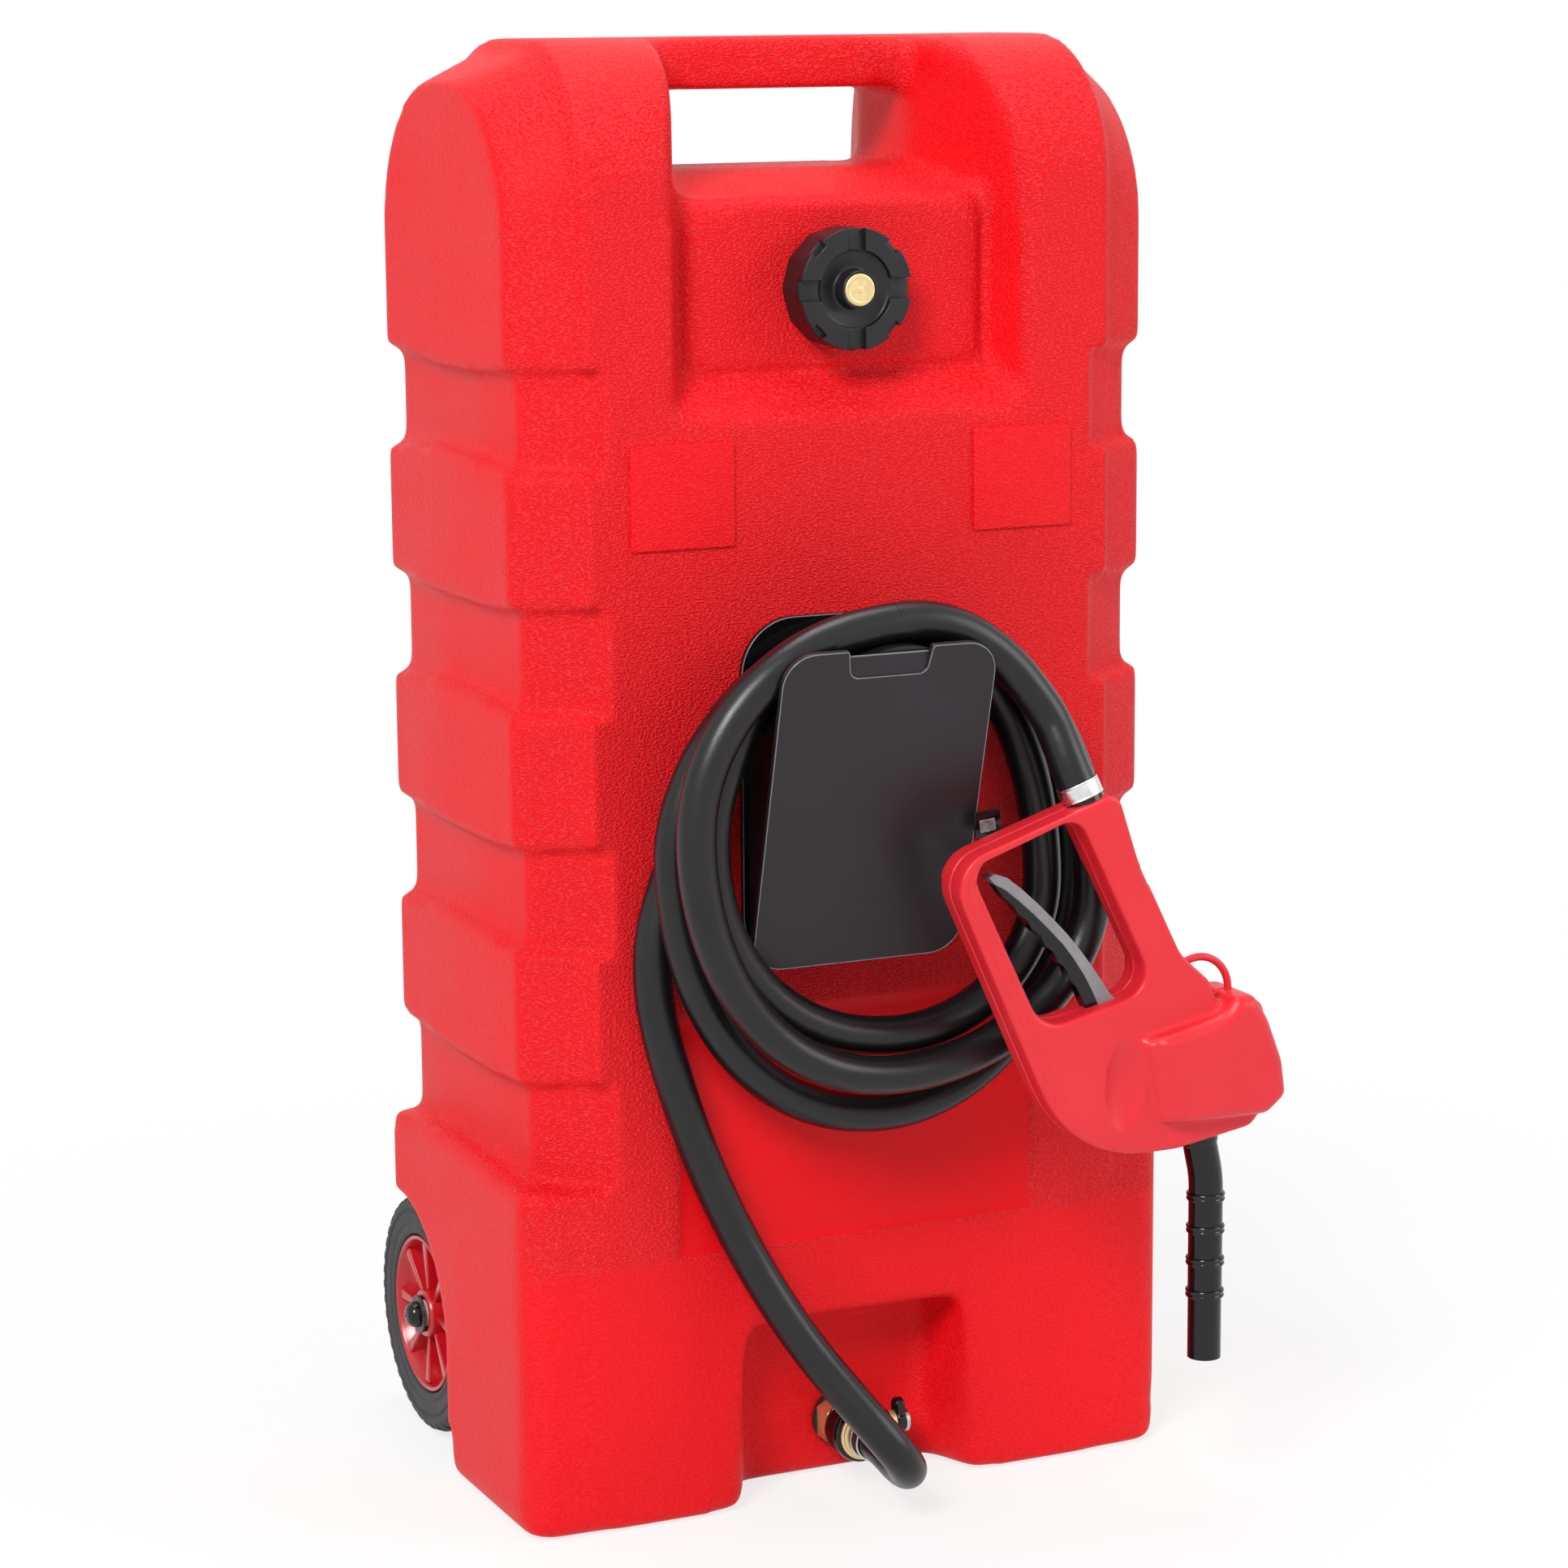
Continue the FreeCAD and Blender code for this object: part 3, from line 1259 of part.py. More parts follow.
def make_shell(name, side, mid):
    """One half of the nozzle's moulded body, towards the front or the back."""
    half = size.shell_half
    loops = []
    for outline in (SHELL_OUTLINE, SHELL_OPENING):
        wire = rounded_wire(outline, mid.value)
        loops.append(Part.Face(wire).extrude(Vector(0, side * half.value, 0)))
    slab = solid_feature(name + "_slab", loops[0])
    opening = solid_feature(name + "_opening", loops[1])
    near = mid + side * half
    far = near + side * size.barrel_proud
    wide = (near, size.barrel_left, size.barrel_right, size.barrel_low, size.barrel_top)
    narrow = (far, size.barrel_left + size.barrel_slope, size.barrel_right - size.barrel_bevel,
              size.barrel_low + size.barrel_bevel, size.barrel_top - size.barrel_bevel)
    ends = (narrow, wide) if side < 0 else (wide, narrow)
    barrel = bevelled(name + "_barrel", *ends)
    whole = fuse(name + "_whole", cut(name + "_loop", slab, opening), barrel)
    sub_part(name, cut(name + "_cut", whole, *shell_tools(mid)))


def make_nozzle():
    """The shells and everything that they hold."""
    mid = -size.nozzle_deep
    for name, side in (("nozzle_front_shell", -1), ("nozzle_back_shell", 1)):
        make_shell(name, side, mid)
    screws = [cylinder("shell_screw", size.screw_radius, size.shell_screw_long,
                       (across, mid + size.shell_half, high), FRONT)
              for across, high in SHELL_SCREWS]
    sub_part("shell_screws", group("shell_screw_group", *screws))

    across, high = TRIGGER_PIVOT
    blade = slice_of("trigger_blade", "XZ_Plane", TRIGGER, size.trigger_half * 2)
    place(blade, (0, mid + size.trigger_half, 0))
    hole = cylinder("trigger_hole", size.pin_radius + size.running, size.trigger_half * 4,
                    (across, mid + size.trigger_half * 2, high), FRONT)
    sub_part("nozzle_trigger", cut("trigger_cut", blade, hole))
    pin = cylinder("trigger_pin_bar", size.pin_radius, size.pin_half * 2,
                   (across, mid + size.pin_half, high), FRONT)
    sub_part("trigger_pin", group("trigger_pin_group", pin))
    slot = size.trigger_half + size.trigger_gap
    spring = coil_spring("trigger_spring_wire", size.torsion_wire, size.torsion_radius,
                         size.pin_half - slot - size.trigger_gap, TORSION_TURNS)
    sub_part("trigger_spring", spring, (across, mid - slot - size.torsion_gap, high), FRONT)

    valve = cylinder("nozzle_valve_drum", size.nozzle_valve_radius, size.nozzle_valve_long,
                     (size.nozzle_valve_left, mid, size.nozzle_valve_high), RIGHT)
    sub_part("nozzle_valve", group("nozzle_valve_group", valve))
    inlet = cylinder("inlet_bar", size.inlet_radius, size.inlet_long,
                     (INLET_START[0], mid, INLET_START[1]), along(GRIP_RUN))
    sub_part("nozzle_inlet_tube", group("inlet_group", inlet))

    heading = Vector(*SPOUT[1]) - Vector(*SPOUT[0])
    path = smooth_path(SPOUT)
    walls = []
    for radius in (size.spout_radius.value, (size.spout_radius - size.spout_wall).value):
        ring = Part.Wire(Part.Circle(Vector(*SPOUT[0]), heading, radius).toShape())
        walls.append(solid_feature("spout_solid", path.makePipeShell([ring], True, False)))
    turned_off = sleeve("spout_turned_off", size.spout_tip_radius,
                        size.spout_radius + PAST, size.spout_tip_long)
    place(turned_off, (SPOUT[-1][0], mid, SPOUT[-1][2]))
    sub_part("spout", cut("spout_cut", *walls, turned_off))
    nut = sleeve("spout_nut_body", size.spout_radius, size.spout_nut_radius, size.spout_nut_high)
    sub_part("spout_nut", nut, SPOUT[0], along(heading))
    rings = []
    for number in range(int(size.ring_count.value)):
        ring = sleeve("spout_ring", size.spout_radius, size.ring_radius, size.ring_high)
        rings.append(place(ring, (SPOUT[-1][0], mid, size.ring_low + size.ring_pitch * number)))
    sub_part("spout_rings", group("spout_ring_group", *rings))

    end = Vector(*HOSE_UPPER[-1])
    inward = (end - Vector(*HOSE_UPPER[-2])).normalize()
    band = sleeve("crimp_band_body", size.hose_radius + size.running, size.crimp_radius,
                  size.crimp_long)
    sub_part("crimp_band", band, end - inward * size.crimp_long.value, along(inward))
    ferrule = cylinder("ferrule_bar", size.ferrule_radius, size.ferrule_long, (0, 0, 0))
    sub_part("hose_ferrule", group("ferrule_group", ferrule), end, along(inward))

    strap = doc.addObject("Part::Torus", "strap_arch")
    bind(strap, "Radius1", size.strap_radius)
    bind(strap, "Radius2", size.strap_wire)
    strap.Angle3 = STRAP_SWEEP
    sub_part("strap_loop", strap, (size.strap_x, mid, size.strap_high),
             FRONT.multiply(FreeCAD.Rotation(Vector(0, 0, 1), STRAP_TURN)))


def main():
    make_tank()
    for name, side, heading in (("left", -1, LEFT), ("right", 1, RIGHT)):
        make_wheel(name, side, heading)
    make_axle()
    make_cap()
    make_valve()
    make_hose()
    make_hanger()
    make_hook()
    make_nozzle()


main()
doc.recompute()

os.makedirs("parts", exist_ok=True)
for thing in doc.Objects:
    if "Invalid" in thing.State or "Error" in thing.State:
        raise SystemExit("%s did not build" % thing.Name)
for name, thing in sub_parts.items():
    shape = thing.Shape
    if shape.isNull() or not shape.isValid():
        raise SystemExit("%s is not a valid solid" % name)
    print(name, len(shape.Solids), "solids", round(shape.Volume), "cubic mm")
for name, thing in sub_parts.items():
    thing.Shape.exportStep("parts/%s.step" % name)
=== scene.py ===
import math

import bmesh
import bpy
from mathutils import Matrix, Vector
from mathutils.bvhtree import BVHTree


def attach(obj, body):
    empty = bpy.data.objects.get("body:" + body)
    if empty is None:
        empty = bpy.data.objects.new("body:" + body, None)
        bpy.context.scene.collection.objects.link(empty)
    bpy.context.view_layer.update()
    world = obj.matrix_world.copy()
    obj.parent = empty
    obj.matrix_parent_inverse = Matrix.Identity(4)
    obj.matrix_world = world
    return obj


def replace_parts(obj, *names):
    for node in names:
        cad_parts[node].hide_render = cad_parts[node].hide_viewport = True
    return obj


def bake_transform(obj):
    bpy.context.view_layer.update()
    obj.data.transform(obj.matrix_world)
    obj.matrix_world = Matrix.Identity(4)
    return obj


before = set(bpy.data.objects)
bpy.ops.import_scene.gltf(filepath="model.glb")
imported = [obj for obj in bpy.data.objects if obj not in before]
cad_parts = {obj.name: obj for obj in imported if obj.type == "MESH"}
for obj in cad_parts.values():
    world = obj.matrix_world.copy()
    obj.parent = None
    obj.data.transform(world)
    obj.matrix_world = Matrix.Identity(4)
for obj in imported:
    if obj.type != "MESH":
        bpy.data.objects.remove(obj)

scene = bpy.context.scene
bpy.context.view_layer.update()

# The camera stands where the photograph's stood: to the left of the caddy and a little
# above its middle, with a long lens. Angles are in degrees, places in metres.
CAMERA_AT = Vector((-1.0695, -2.3397, 0.9063))
CAMERA_YAW = math.radians(24.728)
CAMERA_PITCH = math.radians(10.647)
CAMERA_ROLL = math.radians(-0.443)
LENS_LENGTH, FILM_WIDTH = 96.894, 36

ahead = Vector((math.sin(CAMERA_YAW) * math.cos(CAMERA_PITCH),
                math.cos(CAMERA_YAW) * math.cos(CAMERA_PITCH),
                -math.sin(CAMERA_PITCH)))
level = Vector((math.cos(CAMERA_YAW), -math.sin(CAMERA_YAW), 0))
upright = level.cross(ahead)
camera_right = level * math.cos(CAMERA_ROLL) + upright * math.sin(CAMERA_ROLL)
camera_up = upright * math.cos(CAMERA_ROLL) - level * math.sin(CAMERA_ROLL)
lens = bpy.data.cameras.new("studio_camera")
lens.lens = LENS_LENGTH
lens.sensor_width = FILM_WIDTH
camera = bpy.data.objects.new("studio_camera", lens)
camera.matrix_world = Matrix.Translation(CAMERA_AT) @ Matrix(
    (camera_right, camera_up, -ahead)).transposed().to_4x4()
scene.collection.objects.link(camera)
scene.camera = camera
scene.view_settings.view_transform = "Standard"


# The studio: a pale floor that turns to white away from the caddy, a white room and
# three soft lamps, the strongest above and to the left of the camera.
def empty_tree(data):
    """The node tree of a material or world, emptied."""
    data.use_nodes = True
    data.node_tree.nodes.clear()
    return data.node_tree


def add_node(tree, kind, inputs=None, **settings):
    """A node with its settings, and with each input linked to a socket or set to a value."""
    node = tree.nodes.new(kind)
    for name, value in settings.items():
        setattr(node, name, value)
    for socket, value in (inputs or {}).items():
        if isinstance(value, bpy.types.NodeSocket):
            tree.links.new(value, node.inputs[socket])
        else:
            node.inputs[socket].default_value = value
    return node


def seen_directly(tree):
    """1 where the camera, a gloss or a clear surface looks straight at this."""
    rays = add_node(tree, "ShaderNodeLightPath").outputs
    seen = rays["Is Camera Ray"]
    for ray in ("Is Glossy Ray", "Is Transmission Ray"):
        seen = add_node(tree, "ShaderNodeMath", {0: seen, 1: rays[ray]},
                        operation="ADD", use_clamp=True).outputs[0]
    return seen


ROOM_LIGHT = 0.33
WHITE = (1, 1, 1, 1)
room = bpy.data.worlds.new("studio_room")
scene.world = room
tree = empty_tree(room)
brightness = add_node(tree, "ShaderNodeMapRange", {
    "To Min": ROOM_LIGHT, "To Max": 1.0, "Value": seen_directly(tree)})
sky = add_node(tree, "ShaderNodeBackground", {
    "Strength": brightness.outputs[0], "Color": WHITE})
add_node(tree, "ShaderNodeOutputWorld", {"Surface": sky.outputs[0]})

FLOOR_REACH = 9.0
FLOOR_WHITE = (0.86, 0.86, 0.86, 1)
FADE_START, FADE_END, FADE_LEAST = 0.35, 1.1, 0.78
floor_mesh = bpy.data.meshes.new("studio_floor")
floor_mesh.from_pydata(
    [(-FLOOR_REACH, -FLOOR_REACH, 0), (FLOOR_REACH, -FLOOR_REACH, 0),
     (FLOOR_REACH, FLOOR_REACH, 0), (-FLOOR_REACH, FLOOR_REACH, 0)], [], [(0, 1, 2, 3)])
floor = bpy.data.objects.new("studio_floor", floor_mesh)
scene.collection.objects.link(floor)
paper = bpy.data.materials.new("studio_paper")
tree = empty_tree(paper)
matt = add_node(tree, "ShaderNodeBsdfDiffuse", {"Color": FLOOR_WHITE})
glow = add_node(tree, "ShaderNodeEmission", {"Color": WHITE})
distance = add_node(tree, "ShaderNodeVectorMath", {
    0: add_node(tree, "ShaderNodeTexCoord").outputs["Object"]}, operation="LENGTH")
fade = add_node(tree, "ShaderNodeMapRange", {
    "From Min": FADE_START, "From Max": FADE_END, "To Min": FADE_LEAST,
    "Value": distance.outputs["Value"]}, interpolation_type="SMOOTHSTEP")
share = add_node(tree, "ShaderNodeMath", {
    0: fade.outputs[0], 1: seen_directly(tree)}, operation="MULTIPLY")
blend = add_node(tree, "ShaderNodeMixShader", {
    0: share.outputs[0], 1: matt.outputs[0], 2: glow.outputs[0]})
add_node(tree, "ShaderNodeOutputMaterial", {"Surface": blend.outputs[0]})
floor_mesh.materials.append(paper)

# Each lamp: its name, place, the point it faces, its width in metres and its power in watts.
LAMPS = [
    ("key_lamp", (-2.3, -2.4, 3.0), (0, 0, 0.45), 1.5, 146),
    ("side_lamp", (2.6, -2.0, 1.6), (0, 0, 0.45), 2.0, 36),
    ("top_lamp", (0.1, 0.3, 3.2), (0, 0, 0.5), 1.6, 34),
]
for name, spot, target, width, power in LAMPS:
    light = bpy.data.lights.new(name, "AREA")
    light.shape = "DISK"
    light.size = width
    light.energy = power
    lamp = bpy.data.objects.new(name, light)
    lamp.location = spot
    lamp.rotation_euler = (Vector(target) - Vector(spot)).to_track_quat("-Z", "Y").to_euler()
    scene.collection.objects.link(lamp)


# The hose: one length of 23 mm rubber fuel hose from the outlet valve, wound in three
# loose turns over the hanger and on to the nozzle. The last stretch, from the top of the
# coil, is a piece of its own.
HOSE_RADIUS, HOSE_SIDES = 0.0115, 28
FRONT_FACE = -0.120  # depth of the tank's front face
LOWER_RUN = [
    (6, 1, 36), (6, -20, 36), (9, -40, 28), (5, -60, 33), (-6, -70, 47), (-19, -67, 64),
    (-34, -54, 85), (-52, -38, 112), (-69, -24, 143), (-86, -17, 177), (-102, -16, 211),
    (-115, -16, 243), (-126, -16, 276), (-135, -16, 307), (-140, -16, 336), (-139.5, -16, 364),
    (-132, -16, 391),
]
# Quarter points of each turn, as (across, deep, high): left, top, right, bottom.
TURNS = [
    [(-121, -16, 418), (14.7, -16, 538), (135, -17, 385), (10, -16, 243)],
    [(-137, -40, 416), (3.6, -39.5, 543.5), (105, -39.5, 385), (-2, -59, 302)],
    [(-127, -70, 424), (-7, -63, 548), (128, -61, 380), (-11, -74, 282)],
    [(-144, -88.5, 438), (-18, -86.5, 553)],
]
# Where a turn isn't a plain oval: the points up its left side, which tuck it in behind the
# front turn.
TUCKED = {
    4: [(-133, -40, 441), (-125, -40, 461), (-115, -40, 479), (-98, -40, 499),
        (-75, -40, 518), (-47, -40, 533), (-20, -39.5, 541)],
    8: [(-124.5, -70, 449), (-117, -69, 471), (-107, -68, 490), (-95, -67, 507),
        (-79, -66, 523), (-57, -65, 536), (-33, -64, 545)],
}
LAST_RUN = [(8, -86.9, 552.5), (34, -87.3, 542), (57.5, -87.7, 523), (72.2, -89.4, 504),
            (81.5, -91, 490), (84.5, -98, 476), (88, -104, 461), (94, -108, 444.5)]
QUARTER_POINTS = 5


def metres(point):
    """A route point in millimetres from the tank's front face, as a place in metres."""
    return Vector((point[0] / 1000, point[1] / 1000 + FRONT_FACE, point[2] / 1000))


def quarter_turn(start, finish, upright_start):
    """Points along a quarter of a loose oval turn, with its depth eased from end to end."""
    points = []
    for number in range(1, QUARTER_POINTS + 1):
        angle = math.pi / 2 * number / QUARTER_POINTS
        rise, run = math.sin(angle), 1 - math.cos(angle)
        if not upright_start:
            rise, run = run, rise
        ease = (1 - math.cos(2 * angle)) / 2
        points.append((start[0] + (finish[0] - start[0]) * run,
                       start[1] + (finish[1] - start[1]) * ease,
                       start[2] + (finish[2] - start[2]) * rise))
    return points


def curve_mesh(name, loops, kind="POLY", closed=True, **settings):
    """The mesh of a curve through loops of points."""
    curve = bpy.data.curves.new(name, "CURVE")
    for setting, value in settings.items():
        setattr(curve, setting, value)
    for loop in loops:
        spline = curve.splines.new(kind)
        spline.points.add(len(loop) - 1)
        for knot, point in zip(spline.points, loop):
            knot.co = (*point, 1)
        spline.use_cyclic_u = closed
        if kind == "NURBS":
            spline.order_u = 3
            spline.use_endpoint_u = True
            spline.resolution_u = 6
    shape = bpy.data.objects.new(name, curve)
    scene.collection.objects.link(shape)
    mesh = bpy.data.meshes.new_from_object(shape.evaluated_get(
        bpy.context.evaluated_depsgraph_get()))
    bpy.data.objects.remove(shape)
    return mesh


def hand_over(piece, body, slot, *replaced):
    """Say which body a piece moves with and the CAD nodes it stands for. The slot is not used."""
    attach(piece, body)
    if replaced:
        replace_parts(piece, *replaced)


def add_piece(name, mesh, material=None):
    """A mesh that becomes an object at the origin, smooth all over."""
    if isinstance(mesh, bmesh.types.BMesh):
        data = bpy.data.meshes.new(name)
        mesh.to_mesh(data)
        mesh.free()
        mesh = data
    mesh.shade_smooth()
    piece = bpy.data.objects.new(name, mesh)
    scene.collection.objects.link(piece)
    if material:
        mesh.materials.append(material)
    return piece


def tube(name, centres, first_cap=True, last_cap=True):
    """The hose's round tube along a line of points, with a pattern map along its length."""
    mesh = bmesh.new()
    lay = mesh.loops.layers.uv.new("along")
    across = Vector((1, 0, 0))
    rings, runs = [], [0]
    for number, centre in enumerate(centres):
        back, front = centres[max(number - 1, 0)], centres[min(number + 1, len(centres) - 1)]
        heading = (front - back).normalized()
        across = (across - heading * across.dot(heading)).normalized()
        side = heading.cross(across)
        if number:
            runs.append(runs[-1] + (centre - centres[number - 1]).length)
        turns = [2 * math.pi * step / HOSE_SIDES for step in range(HOSE_SIDES)]
        rings.append([mesh.verts.new(
            centre + (across * math.cos(turn) + side * math.sin(turn)) * HOSE_RADIUS)
            for turn in turns])
    for number, (one, two) in enumerate(zip(rings, rings[1:])):
        for step in range(HOSE_SIDES):
            after = (step + 1) % HOSE_SIDES
            face = mesh.faces.new((one[step], one[after], two[after], two[step]))
            ends = [(number, step), (number, step + 1), (number + 1, step + 1), (number + 1, step)]
            for loop, (along, around) in zip(face.loops, ends):
                loop[lay].uv = (runs[along], around / HOSE_SIDES)
    if first_cap:
        mesh.faces.new(rings[0][::-1])
    if last_cap:
        mesh.faces.new(rings[-1])
    return add_piece(name, mesh)


def paint(red, green, blue):
    """A colour as a paint chart gives it, from 0 to 255, in the renderer's own scale."""
    shares = [value / 255 for value in (red, green, blue)]
    return [value / 12.92 if value <= 0.04045 else ((value + 0.055) / 1.055) ** 2.4
            for value in shares]


def add_bump(tree, height, depth):
    """Raise a material's surface by a pattern, over any bump that it has already."""
    normal = tree.nodes["Principled BSDF"].inputs["Normal"]
    bump = add_node(tree, "ShaderNodeBump", {"Distance": depth, "Strength": 1, "Height": height})
    if normal.is_linked:
        tree.links.new(normal.links[0].from_socket, bump.inputs["Normal"])
    tree.links.new(bump.outputs[0], normal)


def noise_pattern(tree, grain, detail, stretch=(1, 1, 1)):
    """A cloudy pattern with patches of a given size, stretched along each axis."""
    place = tree.nodes["Texture Coordinate"].outputs["Object"]
    turn = add_node(tree, "ShaderNodeMapping", {"Scale": stretch, "Vector": place})
    return add_node(tree, "ShaderNodeTexNoise", {
        "Scale": 1 / grain, "Detail": detail, "Vector": turn.outputs[0]}).outputs["Fac"]


DRIFT_LOW, DRIFT_HIGH = 0.3, 0.7  # the cloudy pattern's values that give the ends of a finish


def finish_of(name, dark, light, rough, patch, bumps, metal=0.0, **settings):
    """A material whose colour drifts between two shades over patches of a given size.

    The shades are from 0 to 255, rough is (least, most) over the same patches, and each bump
    is its (grain, depth), or (grain, depth, stretch), in metres.
    """
    material = bpy.data.materials.new(name)
    tree = empty_tree(material)
    place = add_node(tree, "ShaderNodeTexCoord").outputs["Object"]
    drift = add_node(tree, "ShaderNodeTexNoise", {
        "Scale": 1 / patch, "Detail": 4, "Vector": place}).outputs["Fac"]
    shades = add_node(tree, "ShaderNodeMix", {
        "A": (*paint(*dark), 1), "B": (*paint(*light), 1), "Factor": drift}, data_type="RGBA")
    polish = add_node(tree, "ShaderNodeMapRange", {
        "From Min": DRIFT_LOW, "From Max": DRIFT_HIGH, "To Min": rough[0], "To Max": rough[1],
        "Value": drift})
    shader = add_node(tree, "ShaderNodeBsdfPrincipled", {
        "Base Color": shades.outputs["Result"], "Roughness": polish.outputs[0],
        "Metallic": metal})
    for socket, value in settings.items():
        shader.inputs[socket.replace("_", " ")].default_value = value
    add_node(tree, "ShaderNodeOutputMaterial", {"Surface": shader.outputs[0]})
    for grain, depth, *stretch in bumps:
        add_bump(tree, noise_pattern(tree, grain, 3, *stretch), depth)
    return material


hose_rubber = finish_of("hose_rubber", (12, 11, 13), (22, 20, 23), (0.27, 0.36), 0.05,
                        [(0.0009, 0.00008), (0.014, 0.0002)], Specular_IOR_Level=0.4)

coil_points = []
upright_start = True
corners = [corner for turn in TURNS for corner in turn]
for number, (start, finish) in enumerate(zip(corners, corners[1:])):
    if number in TUCKED:
        coil_points += TUCKED[number] + [finish]
    else:
        coil_points += quarter_turn(start, finish, upright_start)
    upright_start = not upright_start
route = LOWER_RUN + [corners[0]] + coil_points + LAST_RUN
line = [vertex.co.copy() for vertex in curve_mesh(
    "hose_line", [[metres(point) for point in route]], "NURBS", False,
    dimensions="3D").vertices]
crown = metres(corners[-1])
parting = min(range(len(line) * 3 // 4, len(line)), key=lambda n: (line[n] - crown).length)
wound = tube("hose_wound", line[:parting + 1], last_cap=False)
led = tube("hose_to_nozzle", line[parting:], first_cap=False)
for piece in (wound, led):
    piece.data.materials.append(hose_rubber)
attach(wound, "tank")
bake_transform(led)
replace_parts(wound, "hose_lower_run", "hose_coil")
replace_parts(led, "hose_upper_run")


# The tank: one blow-moulded piece of red polyethylene with a pebbled grain and soft edges.
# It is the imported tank's own outside, rounded as a mould's corners are.
TANK_VOXEL, TANK_SMOOTHING, TANK_SHARE = 0.003, 7, 0.5
# A face is outside if enough looks from just above it, not too level, meet nothing.
LOOKS, LOOKS_FREE, LOOK_FROM, LOOK_LEVEL = 90, 2, 0.0005, 0.05
# Where the mould is rounder: (across, deep and high limits in millimetres, passes). The
# limits across hold for both sides.
WORN = [
    ((0, 215), (-130, 140), (-5, 32), 70), ((0, 100), (-130, -60), (0, 145), 36),
    ((180, 220), (-130, -60), (20, 200), 50), ((192, 220), (-130, 140), (200, 840), 14),
    ((84, 136), (-130, -40), (650, 830), 26), ((0, 136), (-130, -70), (650, 678), 18),
    ((60, 126), (-130, 140), (770, 885), 50),
    ((0, 100), (-95, 140), (845, 885), 16), ((80, 100), (-130, -60), (680, 704), 10),
]
SMOOTH_PANEL = ((0, 118), (-125, -100), (166, 312))
# The leather grain, and how much of it each part of the tank has. Its ridges are also
# painted a lighter red, a painted highlight on their tops, in the same share as the grain.
LEATHER_GRAIN, LEATHER_STRETCH, LEATHER_DEPTH = 0.0015, (0.75, 0.75, 1.4), 0.0006
RIDGE_LOW, RIDGE_HIGH, RIDGE_HIGHLIGHT_SHARE, RIDGE_HIGHLIGHT_RED = 0.4, 0.64, 0.26, (250, 84, 88)
PANEL_GRAIN_AND_HIGHLIGHT, PLATE_GRAIN_AND_HIGHLIGHT, SHALLOW_GRAIN_AND_HIGHLIGHT, FULL_GRAIN_AND_HIGHLIGHT = 0.12, 0.5, 0.4, 1.0
FOOT_HIGH, SIDE_FACING = 0.165, 0.85
PLATES = [(-143, -77.8, 590, 650.5), (77.8, 143, 590, 650.5)]
PLATE_PROUD, PLATE_ROUND, PLATE_EDGE = 0.0017, 1.5, 0.0004
UPRIGHT_PLATE = Matrix(((1, 0, 0), (0, 0, -1), (0, 1, 0))).to_4x4()


def drop_inside(mesh):
    """Take away the faces that look only at each other, and close what that opens."""
    faces = BVHTree.FromBMesh(mesh)
    golden = math.pi * (3 - math.sqrt(5))
    rays = []
    for number in range(LOOKS):  # spread evenly over a whole sphere
        high = 1 - 2 * (number + 0.5) / LOOKS
        wide = math.sqrt(1 - high * high)
        rays.append(Vector((math.cos(golden * number) * wide, math.sin(golden * number) * wide,
                            high)))
    hidden = []
    for face in mesh.faces:
        start = face.calc_center_median() + face.normal * LOOK_FROM
        free = sum(faces.ray_cast(start, ray)[0] is None for ray in rays
                   if ray.dot(face.normal) > LOOK_LEVEL)
        if free < LOOKS_FREE:
            hidden.append(face)
    bmesh.ops.delete(mesh, geom=hidden, context="FACES")
    edges = [edge for edge in mesh.edges if edge.is_boundary]
    bmesh.ops.holes_fill(mesh, edges=edges, sides=0)


def evaluated(piece):
    """A piece's mesh with its modifiers worked out, which are then taken off."""
    mesh = bpy.data.meshes.new_from_object(piece.evaluated_get(
        bpy.context.evaluated_depsgraph_get()))
    piece.modifiers.clear()
    piece.data = mesh
    return mesh


def rounded(piece, voxel, smoothing):
    """Remake a closed piece in small even faces and wear its corners round."""
    remesh = piece.modifiers.new("even", "REMESH")
    remesh.mode = "VOXEL"
    remesh.voxel_size = voxel
    soften = piece.modifiers.new("soft", "SMOOTH")
    soften.factor = 0.5
    soften.iterations = smoothing
    evaluated(piece)
    piece.data.shade_smooth()


def worn_round(piece, passes, chosen):
    """Wear a piece rounder at the vertices that are chosen by their place."""
    worn = piece.vertex_groups.new(name="worn")
    worn.add([vertex.index for vertex in piece.data.vertices if chosen(vertex.co)], 1.0,
             "REPLACE")
    wear = piece.modifiers.new("wear", "SMOOTH")
    wear.factor = 0.5
    wear.iterations = passes
    wear.vertex_group = worn.name
    evaluated(piece)
    piece.vertex_groups.clear()


def within(place, limits):
    """Whether a place lies between limits in millimetres, on either side of the middle."""
    spot = (abs(place.x), place.y, place.z)
    return all(low <= value * 1000 <= high for value, (low, high) in zip(spot, limits))


def in_metres(corners):
    """Outline corners in millimetres, in metres."""
    return [tuple(value / 1000 for value in corner) for corner in corners]


def rounded_outline(corners, steps=8):
    """Points round a closed outline of (across, high, radius) corners."""
    points = []
    count = len(corners)
    for number, (across, high, radius) in enumerate(corners):
        here = Vector((across, high))
        back = (Vector(corners[number - 1][:2]) - here).normalized()
        ahead = (Vector(corners[(number + 1) % count][:2]) - here).normalized()
        half_turn = back.angle(ahead) / 2
        reach = radius / math.tan(half_turn)
        middle = here + (back + ahead).normalized() * radius / math.sin(half_turn)
        first = here + back * reach - middle
        sweep = first.angle_signed(here + ahead * reach - middle)
        for step in range(steps + 1):
            turn = Matrix.Rotation(-sweep * step / steps, 2)
            points.append(middle + turn @ first)
    return points


